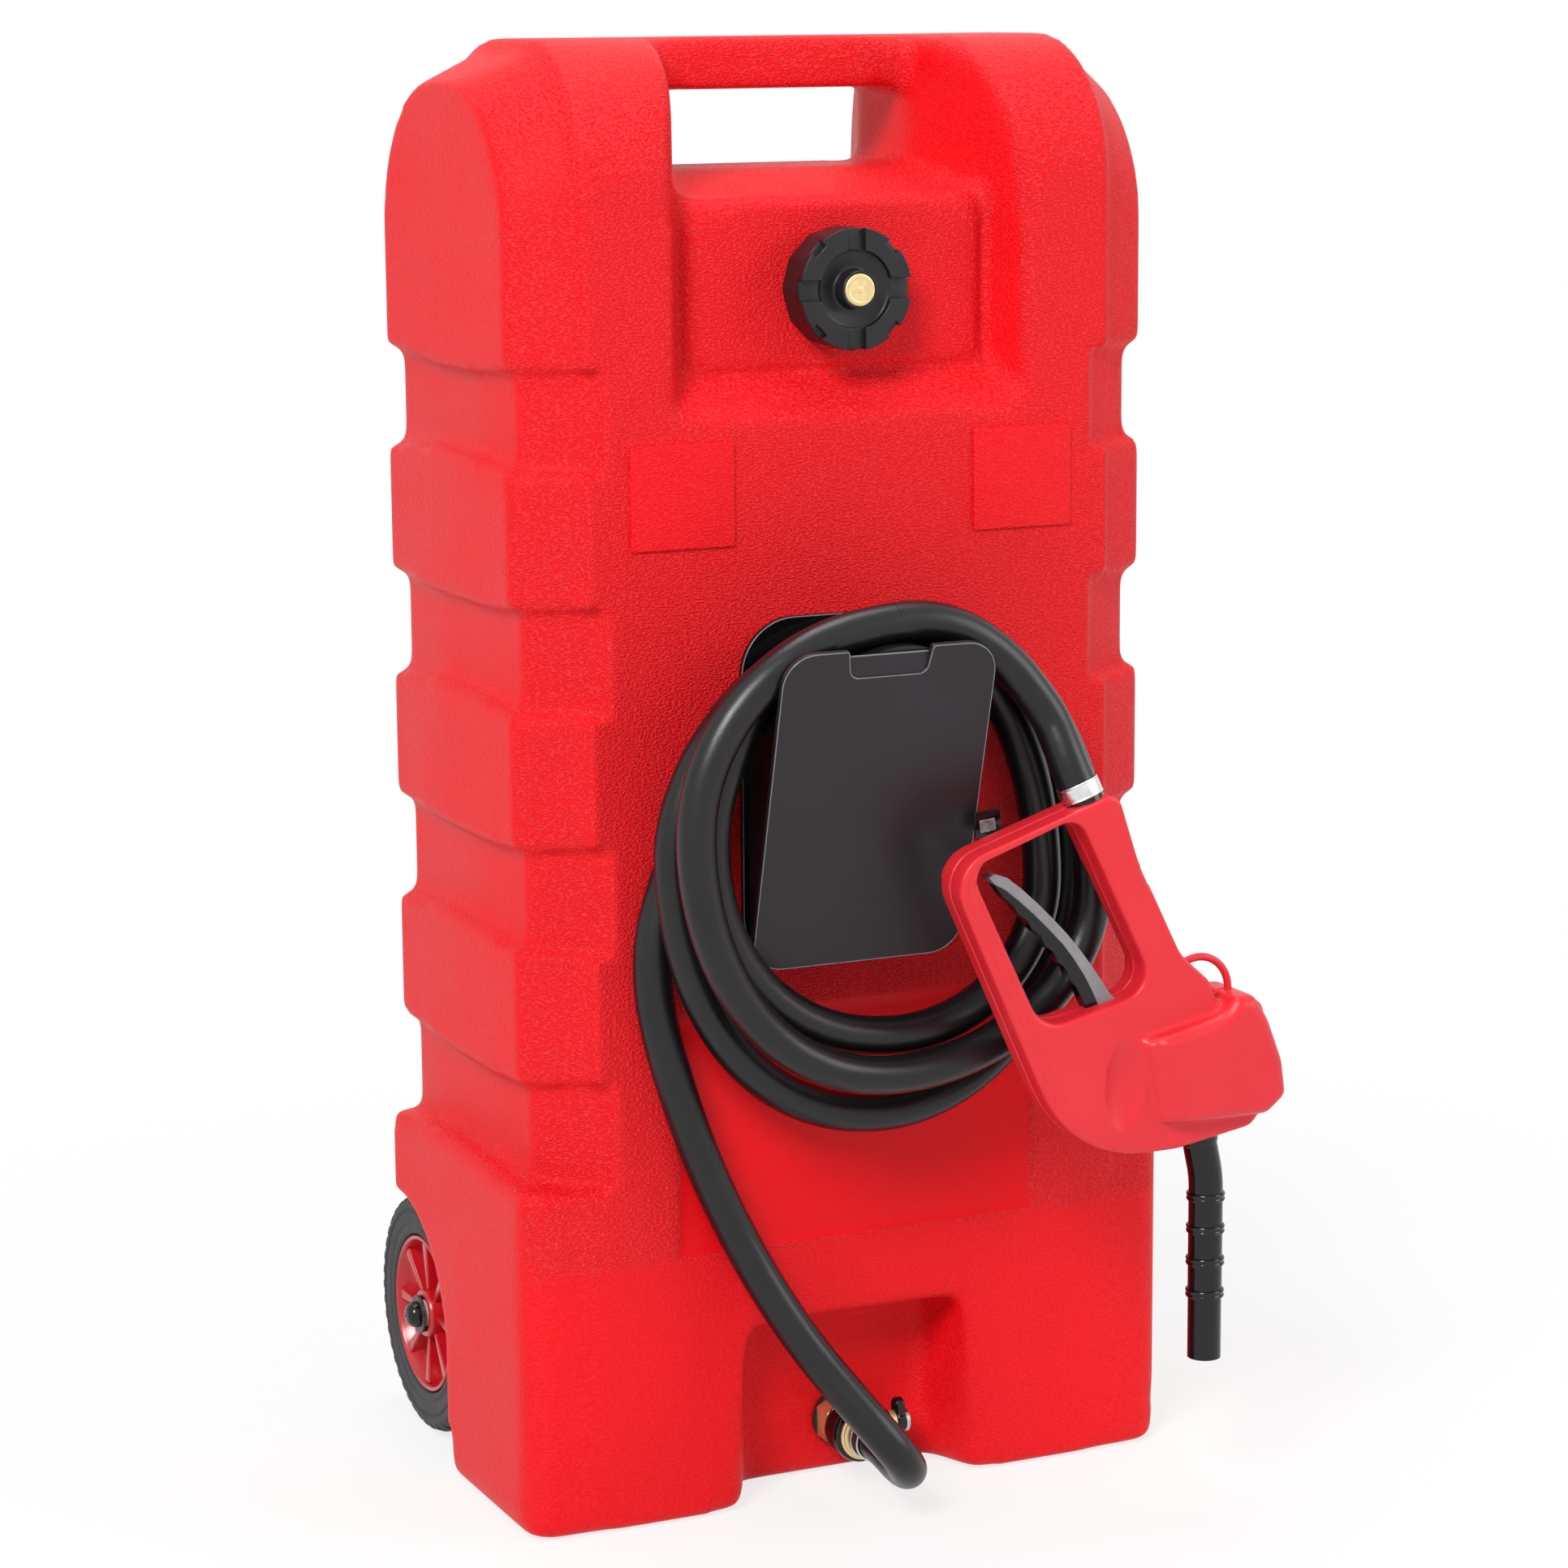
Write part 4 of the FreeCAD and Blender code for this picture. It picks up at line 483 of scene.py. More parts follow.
def bevelled_plate(name, loops, thick, bevel, at, steps=4):
    """A plate with rounded edges through outlines in its own plane, the first the outermost."""
    flat = []
    for number, loop in enumerate(loops):
        area = sum(one[0] * two[1] - two[0] * one[1]
                   for one, two in zip(loop, loop[1:] + loop[:1]))
        if (area > 0) == (number > 0):
            loop = loop[::-1]
        flat.append([(point[0], point[1], 0) for point in loop])
    mesh = curve_mesh(name, flat, dimensions="2D", fill_mode="BOTH", extrude=thick / 2 - bevel,
                      bevel_depth=bevel, bevel_resolution=steps, offset=-bevel)
    mesh.transform(at)
    solid = bmesh.new()
    solid.from_mesh(mesh)
    bmesh.ops.remove_doubles(solid, verts=solid.verts, dist=1e-6)
    bmesh.ops.recalc_face_normals(solid, faces=solid.faces)
    return solid


tank_mesh = bmesh.new()
tank_mesh.from_mesh(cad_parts["tank"].data)
bmesh.ops.remove_doubles(tank_mesh, verts=tank_mesh.verts, dist=1e-5)
drop_inside(tank_mesh)
tank = add_piece("tank_skin", tank_mesh)
rounded(tank, TANK_VOXEL, TANK_SMOOTHING)
for *limits, passes in WORN:
    worn_round(tank, passes, lambda spot: within(spot, limits))
thin = tank.modifiers.new("thin", "DECIMATE")
thin.ratio = TANK_SHARE
evaluated(tank)
tank.data.shade_smooth()
# Each vertex's share of grain sets both the grain's depth and how much painted highlight its ridges
# get: least on the smooth panel, less on side-facing faces and the feet.
grain = tank.data.attributes.new("grain", "FLOAT", "POINT")
for vertex in tank.data.vertices:
    if within(vertex.co, SMOOTH_PANEL):
        share = PANEL_GRAIN_AND_HIGHLIGHT
    elif abs(vertex.normal.x) > SIDE_FACING or vertex.co.z < FOOT_HIGH:
        share = SHALLOW_GRAIN_AND_HIGHLIGHT
    else:
        share = FULL_GRAIN_AND_HIGHLIGHT
    grain.data[vertex.index].value = share

tank_red = finish_of("tank_red", (216, 2, 14), (236, 6, 20), (0.38, 0.5), 0.12, [],
                     Specular_IOR_Level=0.18)
tree = tank_red.node_tree
kept = add_node(tree, "ShaderNodeAttribute", attribute_name="grain")
ridges = add_node(tree, "ShaderNodeMapRange", {
    "From Min": RIDGE_LOW, "From Max": RIDGE_HIGH,
    "Value": noise_pattern(tree, LEATHER_GRAIN, 2, LEATHER_STRETCH)})
leather = add_node(tree, "ShaderNodeMath", {
    0: ridges.outputs[0], 1: kept.outputs["Fac"]}, operation="MULTIPLY").outputs[0]
add_bump(tree, leather, LEATHER_DEPTH)
# The ridges are painted a lighter red where the grain is raised: a painted highlight on the grain's
# tops.
ridge_highlight_share = add_node(tree, "ShaderNodeMath", {0: leather, 1: RIDGE_HIGHLIGHT_SHARE}, operation="MULTIPLY")
base_colour = tree.nodes["Principled BSDF"].inputs["Base Color"]
painted_ridge_highlight = add_node(tree, "ShaderNodeMix", {
    "A": base_colour.links[0].from_socket, "B": (*paint(*RIDGE_HIGHLIGHT_RED), 1),
    "Factor": ridge_highlight_share.outputs[0]}, data_type="RGBA")
tree.links.new(painted_ridge_highlight.outputs["Result"], base_colour)
tank.data.materials.clear()
tank.data.materials.append(tank_red)
hand_over(tank, "tank", "tank_red", "tank")

# The two plates high on the front are raised by under two millimetres, and left bare.
for number, (left, right, low, high) in enumerate(PLATES):
    outline = rounded_outline(in_metres([
        (left, low, PLATE_ROUND), (right, low, PLATE_ROUND), (right, high, PLATE_ROUND),
        (left, high, PLATE_ROUND)]), 4)
    raised = add_piece("bare_plate_%d" % number, bevelled_plate(
        "raised", [outline], 2 * PLATE_PROUD, PLATE_EDGE,
        Matrix.Translation((0, FRONT_FACE, 0)) @ UPRIGHT_PLATE, 2), tank_red)
    # The plates' share of grain also sets how much painted highlight their ridges get.
    flat_grain_and_highlight = raised.data.attributes.new("grain", "FLOAT", "POINT")
    for value in flat_grain_and_highlight.data:
        value.value = PLATE_GRAIN_AND_HIGHLIGHT
    hand_over(raised, "tank", "tank_red")


# The wheels: a moulded rubber tyre on a dished rim of glossy red plastic with wedge ribs.
# They turn on nylon bushes round a steel axle, held by washers and push-on black caps.
WHEEL_MIDDLE = 0.180
AXLE_DEEP, AXLE_HIGH = 0.110, 0.077
TYRE_PROFILE = [  # (radius, distance from the wheel's middle outwards), in millimetres
    (50.2, -14, 1), (54, -17.5, 2), (62, -19.6, 3), (70, -19.8, 3), (73.6, -17.4, 2),
    (74.8, -12, 2), (75, 0, 4), (74.8, 12, 2), (73.6, 17.4, 2), (70.5, 19.6, 1),
    (67.6, 19.9, 1), (66.6, 18.6, 1), (65.4, 18.6, 1), (64.4, 19.9, 1), (59, 19.4, 2),
    (57.6, 18.6, 1), (56.4, 18.7, 1), (54.4, 19.6, 1.5), (51.6, 18.8, 1), (50.2, 15.5, 1),
]
LUG_COUNT = 44
LUG_PROFILE = [(66.8, 17.2), (70.8, 19.9), (74.3, 17.9), (76.4, 12.6), (76.9, 4.5), (76.7, 1.2),
               (73.5, 1.0), (73.0, 15.0)]
LUG_THICK, LUG_EDGE = 0.0058, 0.0007
RIM_PROFILE = [
    (50.0, 17.0, .4), (50.0, 18.2, .4), (48.8, 18.9, .5), (47.5, 18.2, .6), (46.2, 14.5, 2),
    (43.5, 8.2, 4), (35, 4.4, 6), (20, 3.4, 3), (16.6, 6.2, 2), (15.4, 16.8, 1.2), (14.4, 18.6, .8),
    (11.6, 18.6, .4), (11.5, 0, .3), (11.5, -18.6, .4), (15, -18.6, 1), (16, -6, 2),
    (20, -3.4, 3), (42, -3.4, 5), (46.4, -9, 3), (47.4, -17, .6), (49, -17.6, .5),
    (50.0, -17, .4),
]
RIB_COUNT = 8
RIB_INNER, RIB_OUTER = 0.0152, 0.0462
RIB_NARROW, RIB_WIDE = 0.0032, 0.0098
RIB_LOW, RIB_INNER_HIGH, RIB_OUTER_HIGH = 0.0030, 0.0150, 0.0168
RIB_TAPER, RIB_EDGE = 0.36, 0.0011
# How much of a side a rounded corner may take, the least angle that counts as an edge, and
# how strongly broad faces set the light.
CORNER_SHARE, SHARP_ANGLE, BROAD_WEIGHT = 0.45, math.radians(32), 80


def softened(points, steps=4):
    """A closed profile of (radius, height, rounding) in millimetres, with rounded corners."""
    smooth = []
    count = len(points)
    for number, (radius, height, rounding) in enumerate(points):
        here = Vector((radius, height))
        back = Vector(points[number - 1][:2]) - here
        ahead = Vector(points[(number + 1) % count][:2]) - here
        first = here + back.normalized() * min(rounding, back.length * CORNER_SHARE)
        last = here + ahead.normalized() * min(rounding, ahead.length * CORNER_SHARE)
        for step in range(steps + 1):
            share = step / steps
            spot = first.lerp(here, share).lerp(here.lerp(last, share), share)
            smooth.append((max(spot[0], 0) / 1000, spot[1] / 1000))
    return smooth


def spun(profile, sides, turn=0.0):
    """A mesh turned round the local Z axis from a closed profile of (radius, height)."""
    mesh = bmesh.new()
    rings = []
    for radius, height in profile:
        if radius < 1e-6:
            rings.append([mesh.verts.new((0, 0, height))])
        else:
            rings.append([mesh.verts.new((
                radius * math.cos(turn + 2 * math.pi * step / sides),
                radius * math.sin(turn + 2 * math.pi * step / sides), height))
                for step in range(sides)])
    for one, two in zip(rings, rings[1:] + rings[:1]):
        for step in range(sides):
            after = (step + 1) % sides
            corners = [one[step % len(one)], one[after % len(one)],
                       two[after % len(two)], two[step % len(two)]]
            corners = list(dict.fromkeys(corners))
            if len(corners) > 2:
                mesh.faces.new(corners)
    bmesh.ops.remove_doubles(mesh, verts=mesh.verts, dist=1e-7)
    bmesh.ops.recalc_face_normals(mesh, faces=mesh.faces)
    return mesh


def lathe(name, shape, sides, material, steps=4, turn=0.0):
    """A turned piece of one material from a profile in millimetres."""
    return add_piece(name, spun(softened(shape, steps), sides, turn), material)


def even_light(piece):
    """Let the broad faces set how light falls, so that their rounded edges stay crisp."""
    weighted = piece.modifiers.new("even_light", "WEIGHTED_NORMAL")
    weighted.keep_sharp = True
    weighted.weight = BROAD_WEIGHT
    evaluated(piece)


def set_in(piece, at):
    """Put a piece's mesh in its place, leaving its object at the origin."""
    piece.data.transform(at)
    if at.determinant() < 0:
        piece.data.flip_normals()


def repeat_tree():
    """The node tree that copies a piece, each copy turned and moved on from the last."""
    tree = bpy.data.node_groups.new("repeat_piece", "GeometryNodeTree")
    for name, kind in (("Piece", "Geometry"), ("Count", "Int"), ("Turn", "Float"),
                       ("Step", "Vector"), ("Finish", "Material")):
        tree.interface.new_socket(name, in_out="INPUT", socket_type="NodeSocket" + kind)
    tree.interface.new_socket("Pieces", in_out="OUTPUT", socket_type="NodeSocketGeometry")
    given = add_node(tree, "NodeGroupInput").outputs
    number = add_node(tree, "GeometryNodeInputIndex").outputs[0]
    move = add_node(tree, "ShaderNodeVectorMath", {0: given["Step"], "Scale": number},
                    operation="SCALE")
    spots = add_node(tree, "GeometryNodePoints", {
        "Count": given["Count"], "Position": move.outputs[0]})
    turned = add_node(tree, "ShaderNodeMath", {0: given["Turn"], 1: number},
                      operation="MULTIPLY")
    heading = add_node(tree, "ShaderNodeCombineXYZ", {"Z": turned.outputs[0]})
    copies = add_node(tree, "GeometryNodeInstanceOnPoints", {
        "Points": spots.outputs[0], "Instance": given["Piece"], "Rotation": heading.outputs[0]})
    real = add_node(tree, "GeometryNodeRealizeInstances", {0: copies.outputs[0]})
    dressed = add_node(tree, "GeometryNodeSetMaterial", {
        "Geometry": real.outputs[0], "Material": given["Finish"]})
    add_node(tree, "NodeGroupOutput", {0: dressed.outputs[0]})
    return tree


REPEAT = repeat_tree()


def repeated(piece, count, turn, step, material):
    """A piece copied count times, turned by turn and moved by step from one to the next."""
    spread = piece.modifiers.new("repeat", "NODES")
    spread.node_group = REPEAT
    values = {"Count": count, "Turn": turn, "Step": step, "Finish": material}
    for socket in REPEAT.interface.items_tree:
        if socket.in_out == "INPUT" and socket.name in values:
            spread[socket.identifier] = values[socket.name]
    evaluated(piece)


def wedge(corners_low, corners_high):
    """A block between two four-sided faces, given corner by corner."""
    mesh = bmesh.new()
    low = [mesh.verts.new(corner) for corner in corners_low]
    high = [mesh.verts.new(corner) for corner in corners_high]
    mesh.faces.new(low)
    mesh.faces.new(high)
    for number in range(len(low)):
        after = (number + 1) % len(low)
        mesh.faces.new((low[number], low[after], high[after], high[number]))
    bmesh.ops.recalc_face_normals(mesh, faces=mesh.faces)
    return mesh


def with_edges(piece, width, steps):
    """Round a piece's sharp edges by a given width."""
    edge = piece.modifiers.new("edges", "BEVEL")
    edge.width = width
    edge.segments = steps
    edge.limit_method = "ANGLE"
    edge.angle_limit = SHARP_ANGLE
    evaluated(piece)


def as_one(name, *pieces):
    """Several pieces as one, with their materials."""
    whole = bmesh.new()
    materials = []
    for piece in pieces:
        material = piece.data.materials[0]
        if material not in materials:
            materials.append(material)
        before = len(whole.faces)
        whole.from_mesh(piece.data)
        whole.faces.ensure_lookup_table()
        for face in whole.faces[before:]:
            face.material_index = materials.index(material)
        bpy.data.objects.remove(piece)
    result = add_piece(name, whole)
    for material in materials:
        result.data.materials.append(material)
    even_light(result)
    return result


def dress(material, *names):
    """Give a finish to CAD nodes whose shape stays as it is."""
    for name in names:
        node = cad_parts[name]
        if not node.material_slots:
            node.data.materials.append(material)
        for slot in node.material_slots:
            slot.material = material


tyre_rubber = finish_of("tyre_rubber", (38, 36, 38), (54, 51, 53), (0.55, 0.72), 0.018,
                        [(0.0011, 0.00012), (0.02, 0.0004)])
rim_red = finish_of("rim_red", (172, 4, 18), (190, 8, 24), (0.24, 0.36), 0.03,
                    [(0.012, 0.00025)], Coat_Weight=0.4, Coat_Roughness=0.24)
steel = finish_of("bright_steel", (164, 164, 166), (206, 206, 208), (0.2, 0.34), 0.006,
                  [(0.0006, 0.00003, (1, 1, 6))], metal=1.0)
nylon = finish_of("nylon", (214, 210, 200), (228, 224, 214), (0.38, 0.5), 0.01,
                  [(0.0008, 0.00004)])
black_gloss = finish_of("black_gloss", (7, 7, 9), (14, 13, 15), (0.07, 0.14), 0.02,
                        [(0.004, 0.00006)], Specular_IOR_Level=0.4)

rib_low = [(RIB_INNER, -RIB_NARROW / 2, RIB_LOW), (RIB_OUTER, -RIB_WIDE / 2, RIB_LOW),
           (RIB_OUTER, RIB_WIDE / 2, RIB_LOW), (RIB_INNER, RIB_NARROW / 2, RIB_LOW)]
rib_high = [(RIB_INNER, -RIB_NARROW * RIB_TAPER, RIB_INNER_HIGH),
            (RIB_OUTER, -RIB_WIDE * RIB_TAPER, RIB_OUTER_HIGH),
            (RIB_OUTER, RIB_WIDE * RIB_TAPER, RIB_OUTER_HIGH),
            (RIB_INNER, RIB_NARROW * RIB_TAPER, RIB_INNER_HIGH)]
for side, outward in (("left", -1), ("right", 1)):
    # Local Z runs outwards along the axle.
    at_wheel = (Matrix.Translation((outward * WHEEL_MIDDLE, AXLE_DEEP, AXLE_HIGH))
                @ Matrix.Rotation(outward * math.pi / 2, 4, "Y"))
    carcass = lathe("carcass", TYRE_PROFILE, 128, tyre_rubber)
    lug = add_piece("lug", wedge(
        [(r / 1000, -LUG_THICK / 2, z / 1000) for r, z in LUG_PROFILE],
        [(r / 1000, LUG_THICK / 2, z / 1000) for r, z in LUG_PROFILE]), tyre_rubber)
    with_edges(lug, LUG_EDGE, 1)
    inner_lug = add_piece("inner_lug", lug.data.copy())
    set_in(inner_lug, Matrix.Rotation(math.pi / LUG_COUNT, 4, "Z") @ Matrix.Diagonal((1, 1, -1, 1)))
    for lugs in (lug, inner_lug):
        repeated(lugs, LUG_COUNT, 2 * math.pi / LUG_COUNT, (0, 0, 0), tyre_rubber)
    tyre = as_one(side + "_tyre_rubber", carcass, lug, inner_lug)
    dish = lathe("dish", RIM_PROFILE, 128, rim_red)
    ribs = []
    for face, edge_steps in ((1, 3), (-1, 2)):
        rib = add_piece("rib", wedge(rib_low, rib_high), rim_red)
        with_edges(rib, RIB_EDGE, edge_steps)
        repeated(rib, RIB_COUNT, 2 * math.pi / RIB_COUNT, (0, 0, 0), rim_red)
        set_in(rib, Matrix.Diagonal((1, 1, face, 1)))
        ribs.append(rib)
    rim = as_one(side + "_rim_dish", dish, *ribs)
    for piece, node, slot in ((tyre, "tyre", "tyre_rubber"), (rim, "rim", "rim_red")):
        set_in(piece, at_wheel)
        hand_over(piece, side + "_wheel", slot, side + "_" + node)

# The push-on caps: glossy black domes over the axle's ends.
DOME_PROFILE = [(0, 0, 0), (8.2, 0, .4), (8.4, 1.2, .5), (7.4, 5.4, 2.2), (4.6, 7.6, 2.5),
                (0, 8.1, 2)]
DOME_OUT = 0.2018
domes = []
for outward in (-1, 1):
    dome = lathe("dome", DOME_PROFILE, 48, black_gloss)
    set_in(dome, Matrix.Translation((outward * DOME_OUT, AXLE_DEEP, AXLE_HIGH))
           @ Matrix.Rotation(outward * math.pi / 2, 4, "Y"))
    domes.append(dome)
domes = as_one("axle_domes", *domes)
hand_over(domes, "tank", "gloss_black", "axle_caps")
dress(nylon, "left_bush", "right_bush")
dress(steel, "axle")
dull_steel = finish_of("dull_steel", (84, 80, 82), (120, 116, 118), (0.45, 0.6), 0.004,
                       [(0.0009, 0.00005)], metal=1.0)
dress(dull_steel, "axle_washers")


# The filler cap: a black moulded screw cap with twelve soft flats round its side and four
# raised grips on its rim. A turned brass vent button stands in the boss at its middle.
CAP_AT = Matrix.Translation((0, -0.096, 0.7355)) @ Matrix.Rotation(math.pi / 2, 4, "X")
CAP_SHAPE = [
    (9.95, 15.9, .1), (27.6, 15.9, .3), (27.6, 0.5, .3), (34.6, 0.5, .5), (35.8, 1.6, .8),
    (36, 21.4, 2), (35.2, 23.6, 1.2), (30, 24.1, 2), (23.2, 24.1, 1.0), (21.8, 22.9, 1.2),
    (13, 21.6, 3), (11.4, 22.2, 1), (11.2, 32.0, .5), (10.7, 32.6, .3), (10.1, 32.5, .2),
    (9.95, 31.8, .2),
]
CAP_SIDES, CAP_FLATS = 144, 12
GRIP_INNER, GRIP_OUTER, GRIP_SLOT = 0.0230, 0.0357, 0.012
GRIP_LOW, GRIP_HIGH, GRIP_EDGE = 0.0220, 0.0280, 0.0006
WINDOW_WIDE, WINDOW_DEEP = 0.009, 0.0036
FLAT_FROM, FLAT_BELOW, FLAT_SHARE = 0.033, 0.0228, 0.75
BUTTON_SHAPE = [(0, 11, 0), (3, 11, .3), (3, 21, .3), (9.2, 21.5, .3), (9.7, 22.5, .4),
                (9.7, 32.2, .6), (8.9, 32.95, .5), (7.2, 32.95, .3), (6.8, 32.7, .3),
                (2.0, 32.55, .3), (1.5, 32.85, .2), (0, 32.85, 0)]

black_plastic = finish_of("black_plastic", (20, 18, 21), (32, 29, 33), (0.3, 0.4), 0.02,
                          [(0.0007, 0.00006), (0.015, 0.0002)], Specular_IOR_Level=0.35)
brass = finish_of("turned_brass", (206, 178, 116), (238, 218, 168), (0.28, 0.4), 0.006,
                  [(0.0005, 0.00003, (1, 5, 1))], metal=0.65, Anisotropic=0.75)
tree = brass.node_tree
round_the_axis = add_node(tree, "ShaderNodeTangent", direction_type="RADIAL", axis="Y")
tree.links.new(round_the_axis.outputs[0], tree.nodes["Principled BSDF"].inputs["Tangent"])
seal_rubber = finish_of("seal_rubber", (24, 23, 24), (36, 34, 36), (0.6, 0.75), 0.01,
                        [(0.0006, 0.00004)])

cap_body = spun(softened(CAP_SHAPE), CAP_SIDES)
flat_turn = 2 * math.pi / CAP_FLATS
for vertex in cap_body.verts:
    radius = math.hypot(vertex.co.x, vertex.co.y)
    if radius > FLAT_FROM and vertex.co.z < FLAT_BELOW:
        off_middle = (math.atan2(vertex.co.y, vertex.co.x) % flat_turn) - flat_turn / 2
        flat = math.cos(flat_turn / 2) / math.cos(off_middle)
        vertex.co.xy *= 1 - (1 - flat) * FLAT_SHARE
cap_body = add_piece("cap_body", cap_body, black_plastic)
inner_edge = math.asin(GRIP_SLOT / 2 / GRIP_INNER)
outer_edge = math.asin(GRIP_SLOT / 2 / GRIP_OUTER)
window_edge = math.asin(WINDOW_WIDE / 2 / GRIP_OUTER)


def arc(radius, start, finish, steps):
    """Points along an arc round the origin."""
    return [Vector((radius * math.cos(start + (finish - start) * step / steps),
                    radius * math.sin(start + (finish - start) * step / steps)))
            for step in range(steps + 1)]


middle_line = Vector((math.cos(math.pi / 4), math.sin(math.pi / 4)))
beside = Vector((-middle_line.y, middle_line.x))
window_floor = GRIP_OUTER * math.cos(window_edge) - WINDOW_DEEP
window = [middle_line * window_floor + beside * WINDOW_WIDE / 2 * side for side in (-1, 1)]
grip_outline = (arc(GRIP_OUTER, outer_edge, math.pi / 4 - window_edge, 10) + window
                + arc(GRIP_OUTER, math.pi / 4 + window_edge, math.pi / 2 - outer_edge, 10)
                + arc(GRIP_INNER, math.pi / 2 - inner_edge, inner_edge, 16))
grip = add_piece("grip", bevelled_plate(
    "grip", [grip_outline], GRIP_HIGH - GRIP_LOW, GRIP_EDGE,
    Matrix.Translation((0, 0, (GRIP_LOW + GRIP_HIGH) / 2)), 2), black_plastic)
repeated(grip, 4, math.pi / 2, (0, 0, 0), black_plastic)
cap = as_one("filler_cap", cap_body, grip)
button = as_one("brass_button", lathe("button", BUTTON_SHAPE, 72, brass))
for piece, body, slot, node in ((cap, "cap", "black_plastic", "cap_shell"),
                                (button, "vent_button", "brass", "vent_button")):
    set_in(piece, CAP_AT)
    hand_over(piece, body, slot, node)
dress(seal_rubber, "cap_gasket", "bushing_seal")
dress(brass, "vent_seat")
dress(steel, "vent_spring")


# The outlet valve: a brass bulkhead bushing through the tank's wall, a black valve drum with
# a side neck, a black T handle, and a brass hose tail with the hose clamped on it.
VALVE_AT = Matrix.Translation((0.006, -0.080, 0.036)) @ Matrix.Rotation(math.pi / 2, 4, "X")
BUSHING_SHAPE = [(8.8, 0, .2), (18.2, 0, .3), (18.4, 1.0, .6), (18.4, 14.8, 1.2), (16.4, 16, .5),
                 (8.8, 16, .2)]
BUSHING_TAIL_SHAPE = [(6.4, -24, .2), (11.2, -24, .4), (11.9, -23, .3), (11.9, 0.4, .1),
                      (6.4, 0.4, .1)]
DRUM_SHAPE = [(6.5, 16, .2), (17.4, 16, .4), (18.8, 17.4, 1), (19, 18.6, .3), (18.4, 19.2, .3),
              (18.4, 20, .3), (19, 20.6, .3), (19, 29.6, .4), (18.4, 30.2, .3), (18.4, 31, .3),
              (18.9, 31.6, .3), (18.4, 33.6, 1.2), (16.6, 34, .3), (6.5, 34, .2), (6.5, 33, .1),
              (13, 33, .2), (13, 17, .2), (6.5, 17, .1)]
NECK_SHAPE = [(4.2, 16, .2), (9.0, 16, .2), (9.0, 20.4, .5), (8.4, 21, .4), (8.4, 21.6, .3),
              (4.2, 21.9, .2)]
NECK_OUT = 0.022
SHOULDER_SHAPE = [(6.2, 34, .1), (15.6, 34, .3), (16.2, 34.8, .6), (16.2, 36.2, .6),
                  (15.2, 37.0, .4), (14.2, 37.0, .3), (14.2, 37.5, .2), (14.9, 37.9, .3),
                  (14.2, 38.3, .2), (14.2, 38.7, .2), (14.9, 39.1, .3), (14.2, 39.5, .2),
                  (13.4, 39.7, .3), (8.2, 39.8, .2), (8.0, 59, .5), (6.2, 59, .3)]
CLAMP_FRONT, CLAMP_WIDE, CLAMP_LIP = 0.041, 0.010, 0.0016
CLAMP_EDGE_SHAPE = [(11.8, 0, .2), (12.9, 0, .3), (13.3, .8, .4), (12.9, 1.6, .3), (11.8, 1.6, .2)]
CLAMP_BAND_SHAPE = [(11.8, 1.4, .1), (12.5, 1.4, .1), (12.5, 8.6, .1), (11.8, 8.6, .1)]
KNURL_COUNT, KNURL_SPAN = 56, (0.0016, 0.0084)
KNURL_IN, KNURL_OUT, KNURL_FOOT, KNURL_TOP = 0.0122, 0.0129, 0.0003, 0.00018
HOUSING_OUTLINE = [(-5, -3.5, 1), (5, -3.5, 1), (5, 3.5, 1), (-5, 3.5, 1)]
HOUSING_THICK, HOUSING_EDGE, HOUSING_OUT = 0.0038, 0.0004, 0.0143

clamp_steel = finish_of("clamp_steel", (176, 176, 180), (226, 226, 228), (0.18, 0.3), 0.004,
                        [(0.0005, 0.00003, (1, 5, 1))], metal=1.0)
dark_band = finish_of("darkened_band", (26, 22, 22), (58, 50, 46), (0.35, 0.5), 0.002,
                      [(0.0007, 0.00008)])

bushing = as_one(
    "bulkhead_bushing",
    lathe("hexagon", BUSHING_SHAPE, 6, brass, 3, math.pi / 2),
    lathe("tail", BUSHING_TAIL_SHAPE, 48, brass, 3))
neck = lathe("neck", NECK_SHAPE, 40, black_gloss)
set_in(neck, Matrix.Translation((0, 0, NECK_OUT)) @ Matrix.Rotation(math.pi / 2, 4, "Y"))
drum = as_one("valve_drum", lathe("drum", DRUM_SHAPE, 72, black_gloss), neck)
hose_tail = as_one("hose_tail", lathe("shoulder", SHOULDER_SHAPE, 64, brass, 3))
edge = lathe("clamp_edge", CLAMP_EDGE_SHAPE, 64, clamp_steel, 3)
repeated(edge, 2, 0.0, (0, 0, CLAMP_WIDE - CLAMP_LIP), clamp_steel)
band = lathe("clamp_band", CLAMP_BAND_SHAPE, 64, dark_band, 1)
knurl = add_piece("knurl", wedge(*(
    [(KNURL_IN, -KNURL_FOOT, high), (KNURL_OUT, -KNURL_TOP, high), (KNURL_OUT, KNURL_TOP, high),
     (KNURL_IN, KNURL_FOOT, high)] for high in KNURL_SPAN)), dark_band)
repeated(knurl, KNURL_COUNT, 2 * math.pi / KNURL_COUNT, (0, 0, 0), dark_band)
housing = add_piece("screw_housing", bevelled_plate(
    "housing", [rounded_outline(in_metres(HOUSING_OUTLINE), 4)], HOUSING_THICK, HOUSING_EDGE,
    Matrix.Translation((HOUSING_OUT, 0, CLAMP_WIDE / 2)) @ Matrix.Rotation(math.pi / 2, 4, "X")
    @ Matrix.Rotation(math.pi / 2, 4, "Y"), 2), clamp_steel)
clamp = as_one("hose_clamp_band", edge, band, knurl, housing)
set_in(clamp, Matrix.Translation((0, 0, CLAMP_FRONT)))
for piece, slot, node in (
        (bushing, "brass", "outlet_bushing"), (drum, "black_plastic", "valve_body"),
        (hose_tail, "brass", "hose_barb"), (clamp, "steel", "hose_clamp")):
    set_in(piece, VALVE_AT)
    hand_over(piece, "tank", slot, node)

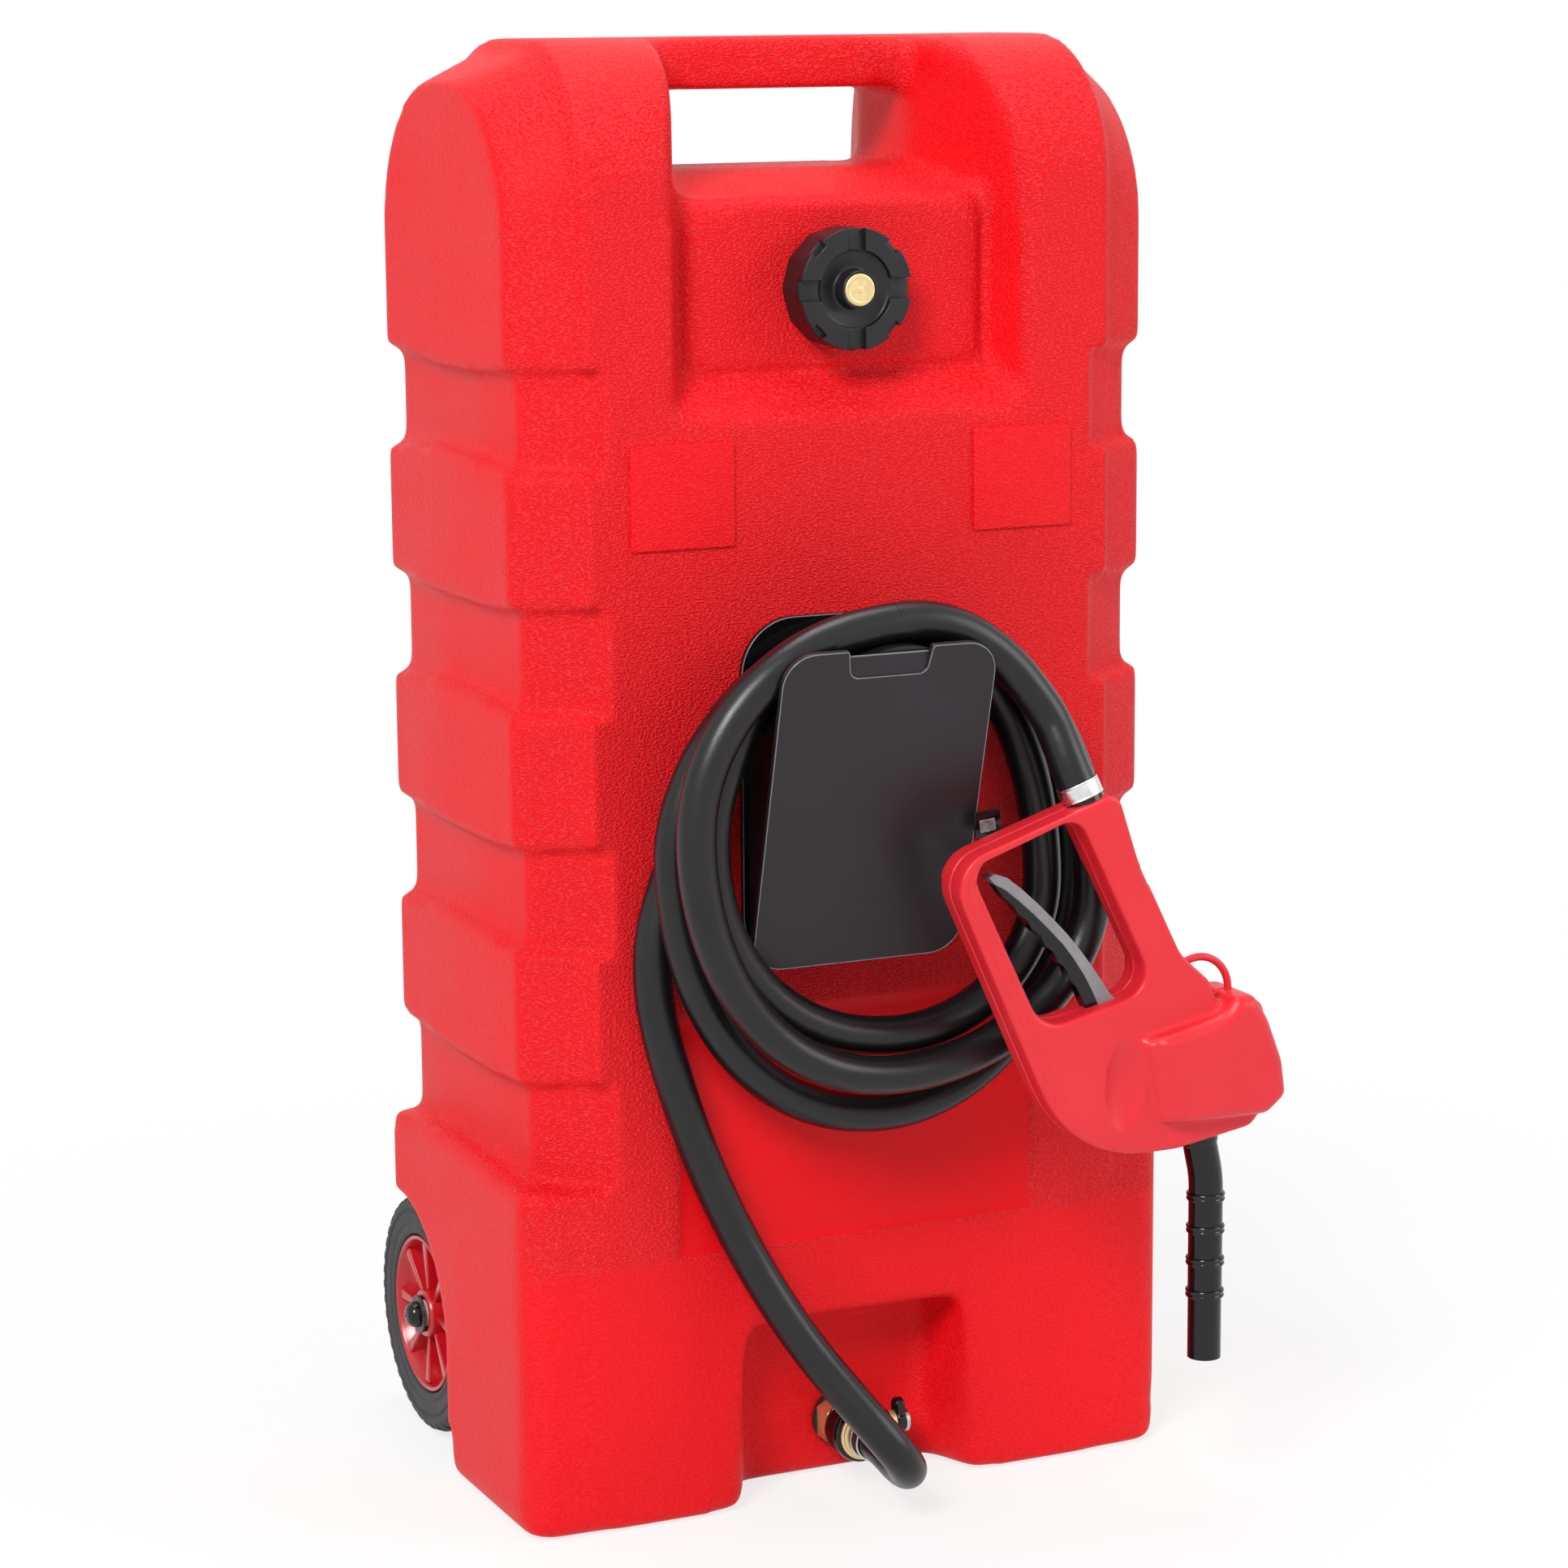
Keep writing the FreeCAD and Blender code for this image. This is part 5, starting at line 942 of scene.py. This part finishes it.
# The T handle: a glossy black bar with rounded ends on the side of the drum.
HANDLE_AT, HANDLE_THICK, HANDLE_EDGE = (0.0353, -0.102, 0.036), 0.006, 0.0016
HANDLE_OUTLINE = [
    (-15, -4.8, 4.6), (-6, -4.8, 4), (-3.5, -7, 3), (3.5, -7, 3), (6, -4.8, 4), (15, -4.8, 4.6),
    (15, 4.8, 4.6), (6, 4.8, 4), (3.5, 7, 3), (-3.5, 7, 3), (-6, 4.8, 4), (-15, 4.8, 4.6)]
handle = add_piece("valve_grip", bevelled_plate(
    "grip", [rounded_outline(in_metres(HANDLE_OUTLINE), 5)], HANDLE_THICK, HANDLE_EDGE,
    Matrix.Translation(HANDLE_AT) @ Matrix.Rotation(math.pi / 2, 4, "X")
    @ Matrix.Rotation(math.pi / 2, 4, "Y") @ Matrix.Rotation(math.pi / 2, 4, "Z")), black_gloss)
even_light(handle)
hand_over(handle, "valve_lever", "gloss_black", "valve_handle")
dress(brass, "outlet_nut", "valve_ball", "valve_stem", "packing_nut")
dress(nylon, "valve_seats")
dress(steel, "handle_nut")


# The hose hanger: a glossy black base plate screwed to the tank, a hollow core that the
# hose is wound on, and a flat cover that leans forward and keeps the hose behind it.
BASE_OUTLINE = [(-76, 336, 34), (48, 336, 34), (48, 547, 34), (-76, 547, 34)]
BASE_EDGE_OUTLINE = [(-75.3, 336.7, 33.4), (47.3, 336.7, 33.4), (47.3, 546.3, 33.4),
                     (-75.3, 546.3, 33.4)]
BASE_THICK, BASE_EDGE, BASE_BEAD_DEEP = 0.004, 0.0012, 0.0003
COVER_LOW = (-0.0275, -0.172, 0.350)
COVER_WIDE, COVER_RISE, COVER_LEAN = 0.135, 0.192, 0.051
COVER_THICK, COVER_EDGE, COVER_ROUND = 0.004, 0.0009, 0.020
# The pull is a notch in the cover's top edge, its sides a little slanted, with a scoop in it.
PULL_LEFT, PULL_RIGHT, PULL_DEEP = -0.0255, 0.0235, 0.0165
PULL_FLARE, PULL_TAPER, PULL_TOP_ROUND, PULL_FOOT_ROUND = 0.0015, 0.001, 0.0018, 0.006
SCOOP_DROP, SCOOP_UNDER = 0.0042, 0.001
SCOOP_BACK, SCOOP_FOOT, SCOOP_TOP = 0.0002, 0.0034, 0.0012
EDGE_BEAD, RIM_BEAD, RIM_INSET, RIM_DEEP, SCOOP_BEAD_OUT = 0.0004, 0.00035, 0.0006, 0.0002, 0.0011


def bead(name, outline, radius, at, material):
    """A thin raised line along an outline in its own plane."""
    mesh = curve_mesh(name, [[(point[0], point[1], 0) for point in outline]], dimensions="3D",
                      bevel_depth=radius, bevel_resolution=2)
    mesh.transform(at)
    mesh.materials.clear()
    return add_piece(name, mesh, material)


cover_grey = finish_of("cover_plastic", (26, 22, 26), (38, 33, 38), (0.34, 0.44), 0.06,
                       [(0.0008, 0.00004)], Specular_IOR_Level=0.35)
# The thin beads along the base plate's edge, the cover's rim and the scoop's top are light grey: a
# painted highlight where those edges catch the light.
edge_highlight_grey = finish_of("painted_edge_highlight", (92, 88, 92), (140, 136, 140), (0.16, 0.28), 0.01,
                        [(0.002, 0.00003)])

base = as_one(
    "hanger_base_plate",
    add_piece("base", bevelled_plate(
        "base", [rounded_outline(in_metres(BASE_OUTLINE), 12)], BASE_THICK, BASE_EDGE,
        Matrix.Translation((0, FRONT_FACE - BASE_THICK / 2, 0)) @ UPRIGHT_PLATE), black_gloss),
    # The plate's edge bead is light grey, a painted highlight along its edge.
    bead("base_edge", rounded_outline(in_metres(BASE_EDGE_OUTLINE), 12), EDGE_BEAD,
         Matrix.Translation((0, FRONT_FACE - BASE_THICK + BASE_BEAD_DEEP, 0)) @ UPRIGHT_PLATE,
         edge_highlight_grey))
hand_over(base, "tank", "gloss_black", "hanger_base")

slope = math.hypot(COVER_LEAN, COVER_RISE)


def cover_outline(inset):
    """The cover's outline with the notch of its pull, moved in from its edge."""
    side, top, turn = COVER_WIDE / 2 - inset, slope - inset, COVER_ROUND - inset
    left, right, foot = PULL_LEFT - inset, PULL_RIGHT + inset, top - PULL_DEEP
    return rounded_outline([
        (-side, inset, turn), (side, inset, turn), (side, top, turn),
        (right + PULL_FLARE, top, PULL_TOP_ROUND), (right - PULL_TAPER, foot, PULL_FOOT_ROUND),
        (left + PULL_TAPER, foot, PULL_FOOT_ROUND), (left - PULL_FLARE, top, PULL_TOP_ROUND),
        (-side, top, turn)])


lean = (Matrix.Translation(COVER_LOW)
        @ Matrix.Rotation(math.atan2(COVER_LEAN, COVER_RISE), 4, "X") @ UPRIGHT_PLATE)
plate = add_piece("plate", bevelled_plate(
    "plate", [cover_outline(0)], COVER_THICK, COVER_EDGE,
    lean @ Matrix.Translation((0, 0, COVER_THICK / 2))), cover_grey)
# A thin bead round the cover's rim, light grey as a painted highlight along it.
rim_line = bead("rim_line", cover_outline(RIM_INSET), RIM_BEAD,
                lean @ Matrix.Translation((0, 0, COVER_THICK - RIM_DEEP)), edge_highlight_grey)
scoop_low, scoop_high = slope - PULL_DEEP - SCOOP_UNDER, slope - SCOOP_DROP
left, right = PULL_LEFT - PULL_TAPER, PULL_RIGHT + PULL_TAPER
scoop = add_piece("scoop", wedge(*(
    [(left, scoop_low, low), (right, scoop_low, low), (right, scoop_high, high),
     (left, scoop_high, high)]
    for low, high in ((SCOOP_FOOT, SCOOP_TOP), (SCOOP_BACK, SCOOP_BACK)))), cover_grey)
set_in(scoop, lean)
# A thin bead along the scoop's top, light grey as a painted highlight.
scoop_edge = bead("scoop_edge", [
    Vector((across, high)) for across, high in (
        (PULL_LEFT, scoop_high), (PULL_RIGHT, scoop_high), (PULL_RIGHT, scoop_high - EDGE_BEAD),
        (PULL_LEFT, scoop_high - EDGE_BEAD))],
    EDGE_BEAD, lean @ Matrix.Translation((0, 0, SCOOP_BEAD_OUT)), edge_highlight_grey)
cover = as_one("hanger_cover_plate", plate, rim_line, scoop, scoop_edge)
hand_over(cover, "tank", "black_plastic", "hanger_cover")
dress(black_plastic, "hanger_core")
dress(steel, "hanger_screws")

# The nozzle's hook: a bent steel strip screwed under the cover, darkened on its faces.
hook_steel = finish_of("hook_steel", (120, 118, 120), (196, 194, 196), (0.24, 0.4), 0.004,
                       [(0.0009, 0.00008)], metal=1.0)
dress(hook_steel, "nozzle_hook", "hook_screws")

# The hook's upright bracket beside the cover: a black plate with a bright steel panel let into it,
# a painted highlight on the bracket's face.
BRACKET_OUTLINE = [(36, 421.5, 1.5), (53.5, 423, 1.5), (52, 438.5, 1.5), (35, 437, 1.5)]
BRACKET_HIGHLIGHT_PANEL = [(39, 424.5, 0.6), (49.5, 425.5, 0.6), (48.5, 433, 0.6), (38.5, 432, 0.6)]
BRACKET_DEEP, BRACKET_THICK, BRACKET_EDGE, HIGHLIGHT_PANEL_PROUD = -0.2035, 0.0018, 0.0004, 0.0006
bracket = as_one("hook_bracket", *(
    add_piece(name, bevelled_plate(
        name, [rounded_outline(in_metres(outline), 4)], BRACKET_THICK, BRACKET_EDGE,
        Matrix.Translation((0, BRACKET_DEEP - forward, 0)) @ UPRIGHT_PLATE, 2), material)
    for name, outline, forward, material in (
        ("bracket_plate", BRACKET_OUTLINE, 0, black_gloss),
        ("bracket_highlight_panel", BRACKET_HIGHLIGHT_PANEL, HIGHLIGHT_PANEL_PROUD, hook_steel))))
hand_over(bracket, "tank", "gloss_black")


# The nozzle's body: two moulded shells of coral red plastic that meet at mid depth, with a
# hand loop round the trigger and a bulge each side over the valve. Screws join them.
NOZZLE_DEEP = -0.230
SHELL_HALF = 0.014
LOOP_OUTLINE = [
    (109, 449, 8), (122.4, 408.2, 60), (151.8, 348.5, 30), (170.9, 331.3, 10), (177.4, 317, 1.5),
    (207, 317, 10), (220, 262, 12), (201, 239, 10), (150, 230.5, 60), (80, 230.5, 75),
    (-2, 413.3, 22),
]
LOOP_OPENING = [(13.4, 412.6, 11), (83, 436.9, 13), (135.2, 330.1, 16), (60.5, 312.7, 20)]
BULGE_OUTLINE = [
    (122, 300.5, 3), (150, 305.5, 60), (177, 311.5, 20), (184, 321.5, 5), (197, 321.5, 6),
    (207, 306, 30), (217, 280, 30), (220, 258, 8), (207, 247.5, 10), (137, 247.5, 5),
    (129.5, 277, 60),
]
BULGE_PROUD, BULGE_START, BULGE_BEVEL = 0.012, 0.0007, 0.008
FACET_TOP, FACET_LOW, FACET_WIDE = (0.121, 0.3005), (0.1355, 0.2475), 0.016
FACET_START, FACET_EDGE, FACET_STEP = -0.0015, -0.0005, 0.22
HOLLOW_AT, HOLLOW_RADIUS, HOLLOW_DEEP = (0.114, 0.273), (0.0135, 0.028), 0.0042
HOLLOW_PAST, HOLLOW_OFF_MIDDLE = 0.001, 0.006
SHELL_BEVEL = 0.0016
SHELL_WORN = [(((-5, 130), (-250, -210), (225, 404)), 30),
              (((130, 230), (-250, -210), (225, 330)), 8)]
PARTING_GAP = 0.0015  # the parting face stays flat this far from mid depth
HALF_GAP = 0.0002  # how far each shell stops from mid depth
SHELL_VOXEL, SHELL_SMOOTHING = 0.0012, 4
GROOVES = [0.0052, 0.0100]
GROOVE_WIDE, GROOVE_DEEP, GROOVE_LEFT_OF, GROOVE_SKIN = 0.0011, 0.0009, 0.075, 0.0045

nozzle_red = finish_of("nozzle_red", (208, 30, 42), (218, 40, 50), (0.34, 0.44), 0.05,
                       [(0.0008, 0.00005), (0.02, 0.0003)], Specular_IOR_Level=0.4)


def joined(whole, other):
    """Two meshes as one."""
    data = bpy.data.meshes.new("part")
    other.to_mesh(data)
    other.free()
    whole.from_mesh(data)
    bpy.data.meshes.remove(data)
    return whole


def keep_side(mesh, at, side):
    """Cut a closed mesh at a depth and keep its front (-1) or back (1) half."""
    everything = mesh.verts[:] + mesh.edges[:] + mesh.faces[:]
    bmesh.ops.bisect_plane(mesh, geom=everything, plane_co=(0, at, 0), plane_no=(0, -side, 0),
                           clear_outer=True)
    edges = [edge for edge in mesh.edges if edge.is_boundary]
    bmesh.ops.holes_fill(mesh, edges=edges, sides=0)


def share_between(value, start, end):
    """0 before start, 1 after end and a straight rise between."""
    return min(max((value - start) / (end - start), 0), 1)


def past_facet(across, high):
    """How far a point of the bulge lies to the right of its slanting left edge."""
    share = (FACET_TOP[1] - high) / (FACET_TOP[1] - FACET_LOW[1])
    return across - (FACET_TOP[0] + (FACET_LOW[0] - FACET_TOP[0]) * share)


def flat_shape(name, loops, thick, bevel, *steps):
    """A plate of the nozzle through outlines in metres, centred on its mid depth."""
    return bevelled_plate(name, loops, thick, bevel,
                          Matrix.Translation((0, NOZZLE_DEEP, 0)) @ UPRIGHT_PLATE, *steps)


loop_edge = [Vector(point) for point in rounded_outline(in_metres(LOOP_OUTLINE), 12)]


def edge_distance(across, high):
    """How near a point of the nozzle's face is to its outline."""
    spot = Vector((across, high))
    least = 1.0
    for one, two in zip(loop_edge, loop_edge[1:] + loop_edge[:1]):
        along = two - one
        share = min(max((spot - one).dot(along) / max(along.length_squared, 1e-12), 0), 1)
        least = min(least, (spot - one - along * share).length)
    return least


def shell_half(name, side):
    """One shell: half of the hand loop, with its half of the bulge."""
    loop = flat_shape(name, [rounded_outline(in_metres(outline)) for outline in (
        LOOP_OUTLINE, LOOP_OPENING)], 2 * SHELL_HALF, SHELL_BEVEL)
    proud = SHELL_HALF + BULGE_PROUD
    bulge = flat_shape(name, [rounded_outline(in_metres(BULGE_OUTLINE))], 2 * proud, BULGE_BEVEL)
    for offset in (FACET_START, FACET_EDGE, FACET_WIDE):
        bmesh.ops.bisect_plane(
            bulge, geom=bulge.verts[:] + bulge.edges[:] + bulge.faces[:],
            plane_co=(FACET_TOP[0] + offset, 0, FACET_TOP[1]),
            plane_no=(FACET_TOP[1] - FACET_LOW[1], 0, FACET_LOW[0] - FACET_TOP[0]))
    for vertex in bulge.verts:
        past = past_facet(vertex.co.x, vertex.co.z)
        share = (FACET_STEP * share_between(past, FACET_START, FACET_EDGE)
                 + (1 - FACET_STEP) * share_between(past, FACET_EDGE, FACET_WIDE))
        depth = (SHELL_HALF + BULGE_START + (BULGE_PROUD - BULGE_START) * share) / proud
        vertex.co.y = NOZZLE_DEEP + (vertex.co.y - NOZZLE_DEEP) * depth
    for mesh in (loop, bulge):
        keep_side(mesh, NOZZLE_DEEP + side * HALF_GAP, side)
    shell = add_piece(name, joined(loop, bulge))
    rounded(shell, SHELL_VOXEL, SHELL_SMOOTHING)
    for limits, passes in SHELL_WORN:
        worn_round(shell, passes, lambda spot: within(spot, limits)
                   and abs(spot.y - NOZZLE_DEEP) > PARTING_GAP)
    for vertex in shell.data.vertices:
        across, deep, high = vertex.co
        off_middle = abs(deep - NOZZLE_DEEP)
        # The hollow beside the bulge, and the two parting grooves up the loop's left side.
        reach = math.hypot((across - HOLLOW_AT[0]) / HOLLOW_RADIUS[0],
                           (high - HOLLOW_AT[1]) / HOLLOW_RADIUS[1])
        if (reach < 1 and past_facet(across, high) < HOLLOW_PAST
                and off_middle > HOLLOW_OFF_MIDDLE):
            vertex.co.y -= side * HOLLOW_DEEP * (1 - reach * reach)
        if side < 0 and across < GROOVE_LEFT_OF and off_middle > SHELL_HALF - GROOVE_SKIN:
            near = edge_distance(across, high)
            for groove in GROOVES:
                if abs(near - groove) < GROOVE_WIDE:
                    vertex.co.y += GROOVE_DEEP * (1 - abs(near - groove) / GROOVE_WIDE)
    shell.data.materials.clear()
    shell.data.materials.append(nozzle_red)
    hand_over(shell, "nozzle", "nozzle_red")
    return shell


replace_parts(shell_half("nozzle_front", -1), "nozzle_front_shell")
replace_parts(shell_half("nozzle_back", 1), "nozzle_back_shell")
dress(steel, "shell_screws")

# The strap loop: a moulded ring on the nozzle's shoulder.
dress(nozzle_red, "strap_loop")

# The trigger: a cranked lever inside the hand loop, with a grey blade over a black rib whose
# underside is waved for the fingers. It turns on a steel pin with a spring.
BLADE_TOP = [(29, 404.5), (33, 406.5), (41, 403.5), (50, 396.5), (61, 386.5), (71, 376.5),
             (80, 367), (88, 357.5), (96, 347), (103, 337), (109, 328), (115, 322), (120, 318),
             (122, 311)]
BLADE_UNDER = [(115, 307), (110, 311), (106, 315), (101.5, 321), (97, 331), (91.5, 341),
               (84.5, 351.5), (77.5, 360.5), (68.5, 370), (58.5, 380), (48, 389.5), (39.5, 396.5),
               (33, 400)]
RIB_UNDER = [(113, 304), (105, 303), (99, 308), (95.5, 316), (91.5, 324), (87, 333.5),
             (82.5, 338.5), (79.5, 346), (74.5, 350), (71.5, 356.5), (66, 360.5), (63, 367),
             (57.5, 371), (54, 377), (48.5, 381), (44.5, 387), (39, 391.5)]
BLADE_THICK, BLADE_EDGE, UNDER_THICK, UNDER_EDGE = 0.010, 0.0007, 0.0086, 0.0006
blade_grey = finish_of("trigger_grey", (112, 110, 114), (140, 138, 142), (0.3, 0.42), 0.01,
                       [(0.0008, 0.00006)])
blade = add_piece("blade", flat_shape("blade", [in_metres(BLADE_TOP + BLADE_UNDER)],
                                      BLADE_THICK, BLADE_EDGE, 2), blade_grey)
rib = add_piece("rib", flat_shape("rib", [in_metres(BLADE_UNDER[::-1] + RIB_UNDER)],
                                  UNDER_THICK, UNDER_EDGE, 2), black_gloss)
trigger = as_one("trigger_lever", blade, rib)
hand_over(trigger, "trigger", "grey_plastic", "nozzle_trigger")
dress(steel, "trigger_pin", "trigger_spring")

# The spout: a glossy black tube in a flared nut, with four doubled rings round it.
SPOUT_TOP, SPOUT_BEND = (0.1687, -0.230, 0.2525), (0.174, -0.230, 0.226)
SPOUT_AXIS = (0.178, -0.230)
RING_LOW, RING_PITCH, RING_COUNT = 0.1355, 0.020, 4
SPOUT_RING_SHAPE = [(10.2, -2.6, .1), (11.2, -2.6, .5), (11.8, -1.4, .7), (11.1, 0, .5),
                    (11.8, 1.4, .7), (11.2, 2.6, .5), (10.2, 2.6, .1)]
SPOUT_NUT_SHAPE = [(10.4, 0, .2), (13.4, 0, .6), (14.4, 1.6, .8), (14.4, 4, 1), (13.4, 5.6, .8),
                   (13.6, 8, 1), (12.6, 14, 2), (11.4, 22, 1.4), (10.9, 24, .3), (10.4, 24, .2)]
ring = lathe("ring", SPOUT_RING_SHAPE, 56, black_gloss)
repeated(ring, RING_COUNT, 0.0, (0, 0, RING_PITCH), black_gloss)
rings = as_one("spout_double_rings", ring)
set_in(rings, Matrix.Translation((*SPOUT_AXIS, RING_LOW)))
nut_heading = (Vector(SPOUT_BEND) - Vector(SPOUT_TOP)).to_track_quat("Z", "Y").to_matrix()
nut = as_one("spout_flared_nut", lathe("nut", SPOUT_NUT_SHAPE, 56, black_gloss))
set_in(nut, Matrix.Translation(SPOUT_TOP) @ nut_heading.to_4x4())
for piece, node in ((rings, "spout_rings"), (nut, "spout_nut")):
    hand_over(piece, "nozzle", "gloss_black", node)
dress(black_gloss, "spout")

# The hose's crimped end: a black ferrule in the nozzle and a rolled silver band on the hose.
# The band is left bare where the photographed one is printed.
BAND_MIDDLE, BAND_FROM, BAND_TO = ((0.09235, -0.2269, 0.4491), (0.088, -0.224, 0.461),
                                   (0.094, -0.228, 0.4445))
BAND_SHAPE = [(11.6, -5, .2), (12.7, -5, .3), (13, -4.4, .4), (12.6, -3.6, .3), (12.75, -2.2, .6),
              (12.75, 2.2, .6), (12.6, 3.6, .3), (13, 4.4, .4), (12.7, 5, .3), (11.6, 5, .2)]
crimp_silver = finish_of("crimp_silver", (206, 206, 208), (240, 240, 240), (0.16, 0.3), 0.004,
                         [(0.0012, 0.00006)], metal=1.0)
hose_heading = (Vector(BAND_TO) - Vector(BAND_FROM)).to_track_quat("Z", "Y").to_matrix().to_4x4()
crimp = as_one("crimped_band", lathe("band", BAND_SHAPE, 64, crimp_silver, 3))
set_in(crimp, Matrix.Translation(BAND_MIDDLE) @ hose_heading)
hand_over(crimp, "nozzle", "crimp_silver", "crimp_band")
dress(black_gloss, "hose_ferrule")
valve_metal = finish_of("valve_metal", (150, 150, 152), (176, 176, 178), (0.34, 0.46), 0.004,
                        [(0.0009, 0.00006)], metal=1.0)
dress(valve_metal, "nozzle_valve", "nozzle_inlet_tube")


bpy.context.view_layer.update()
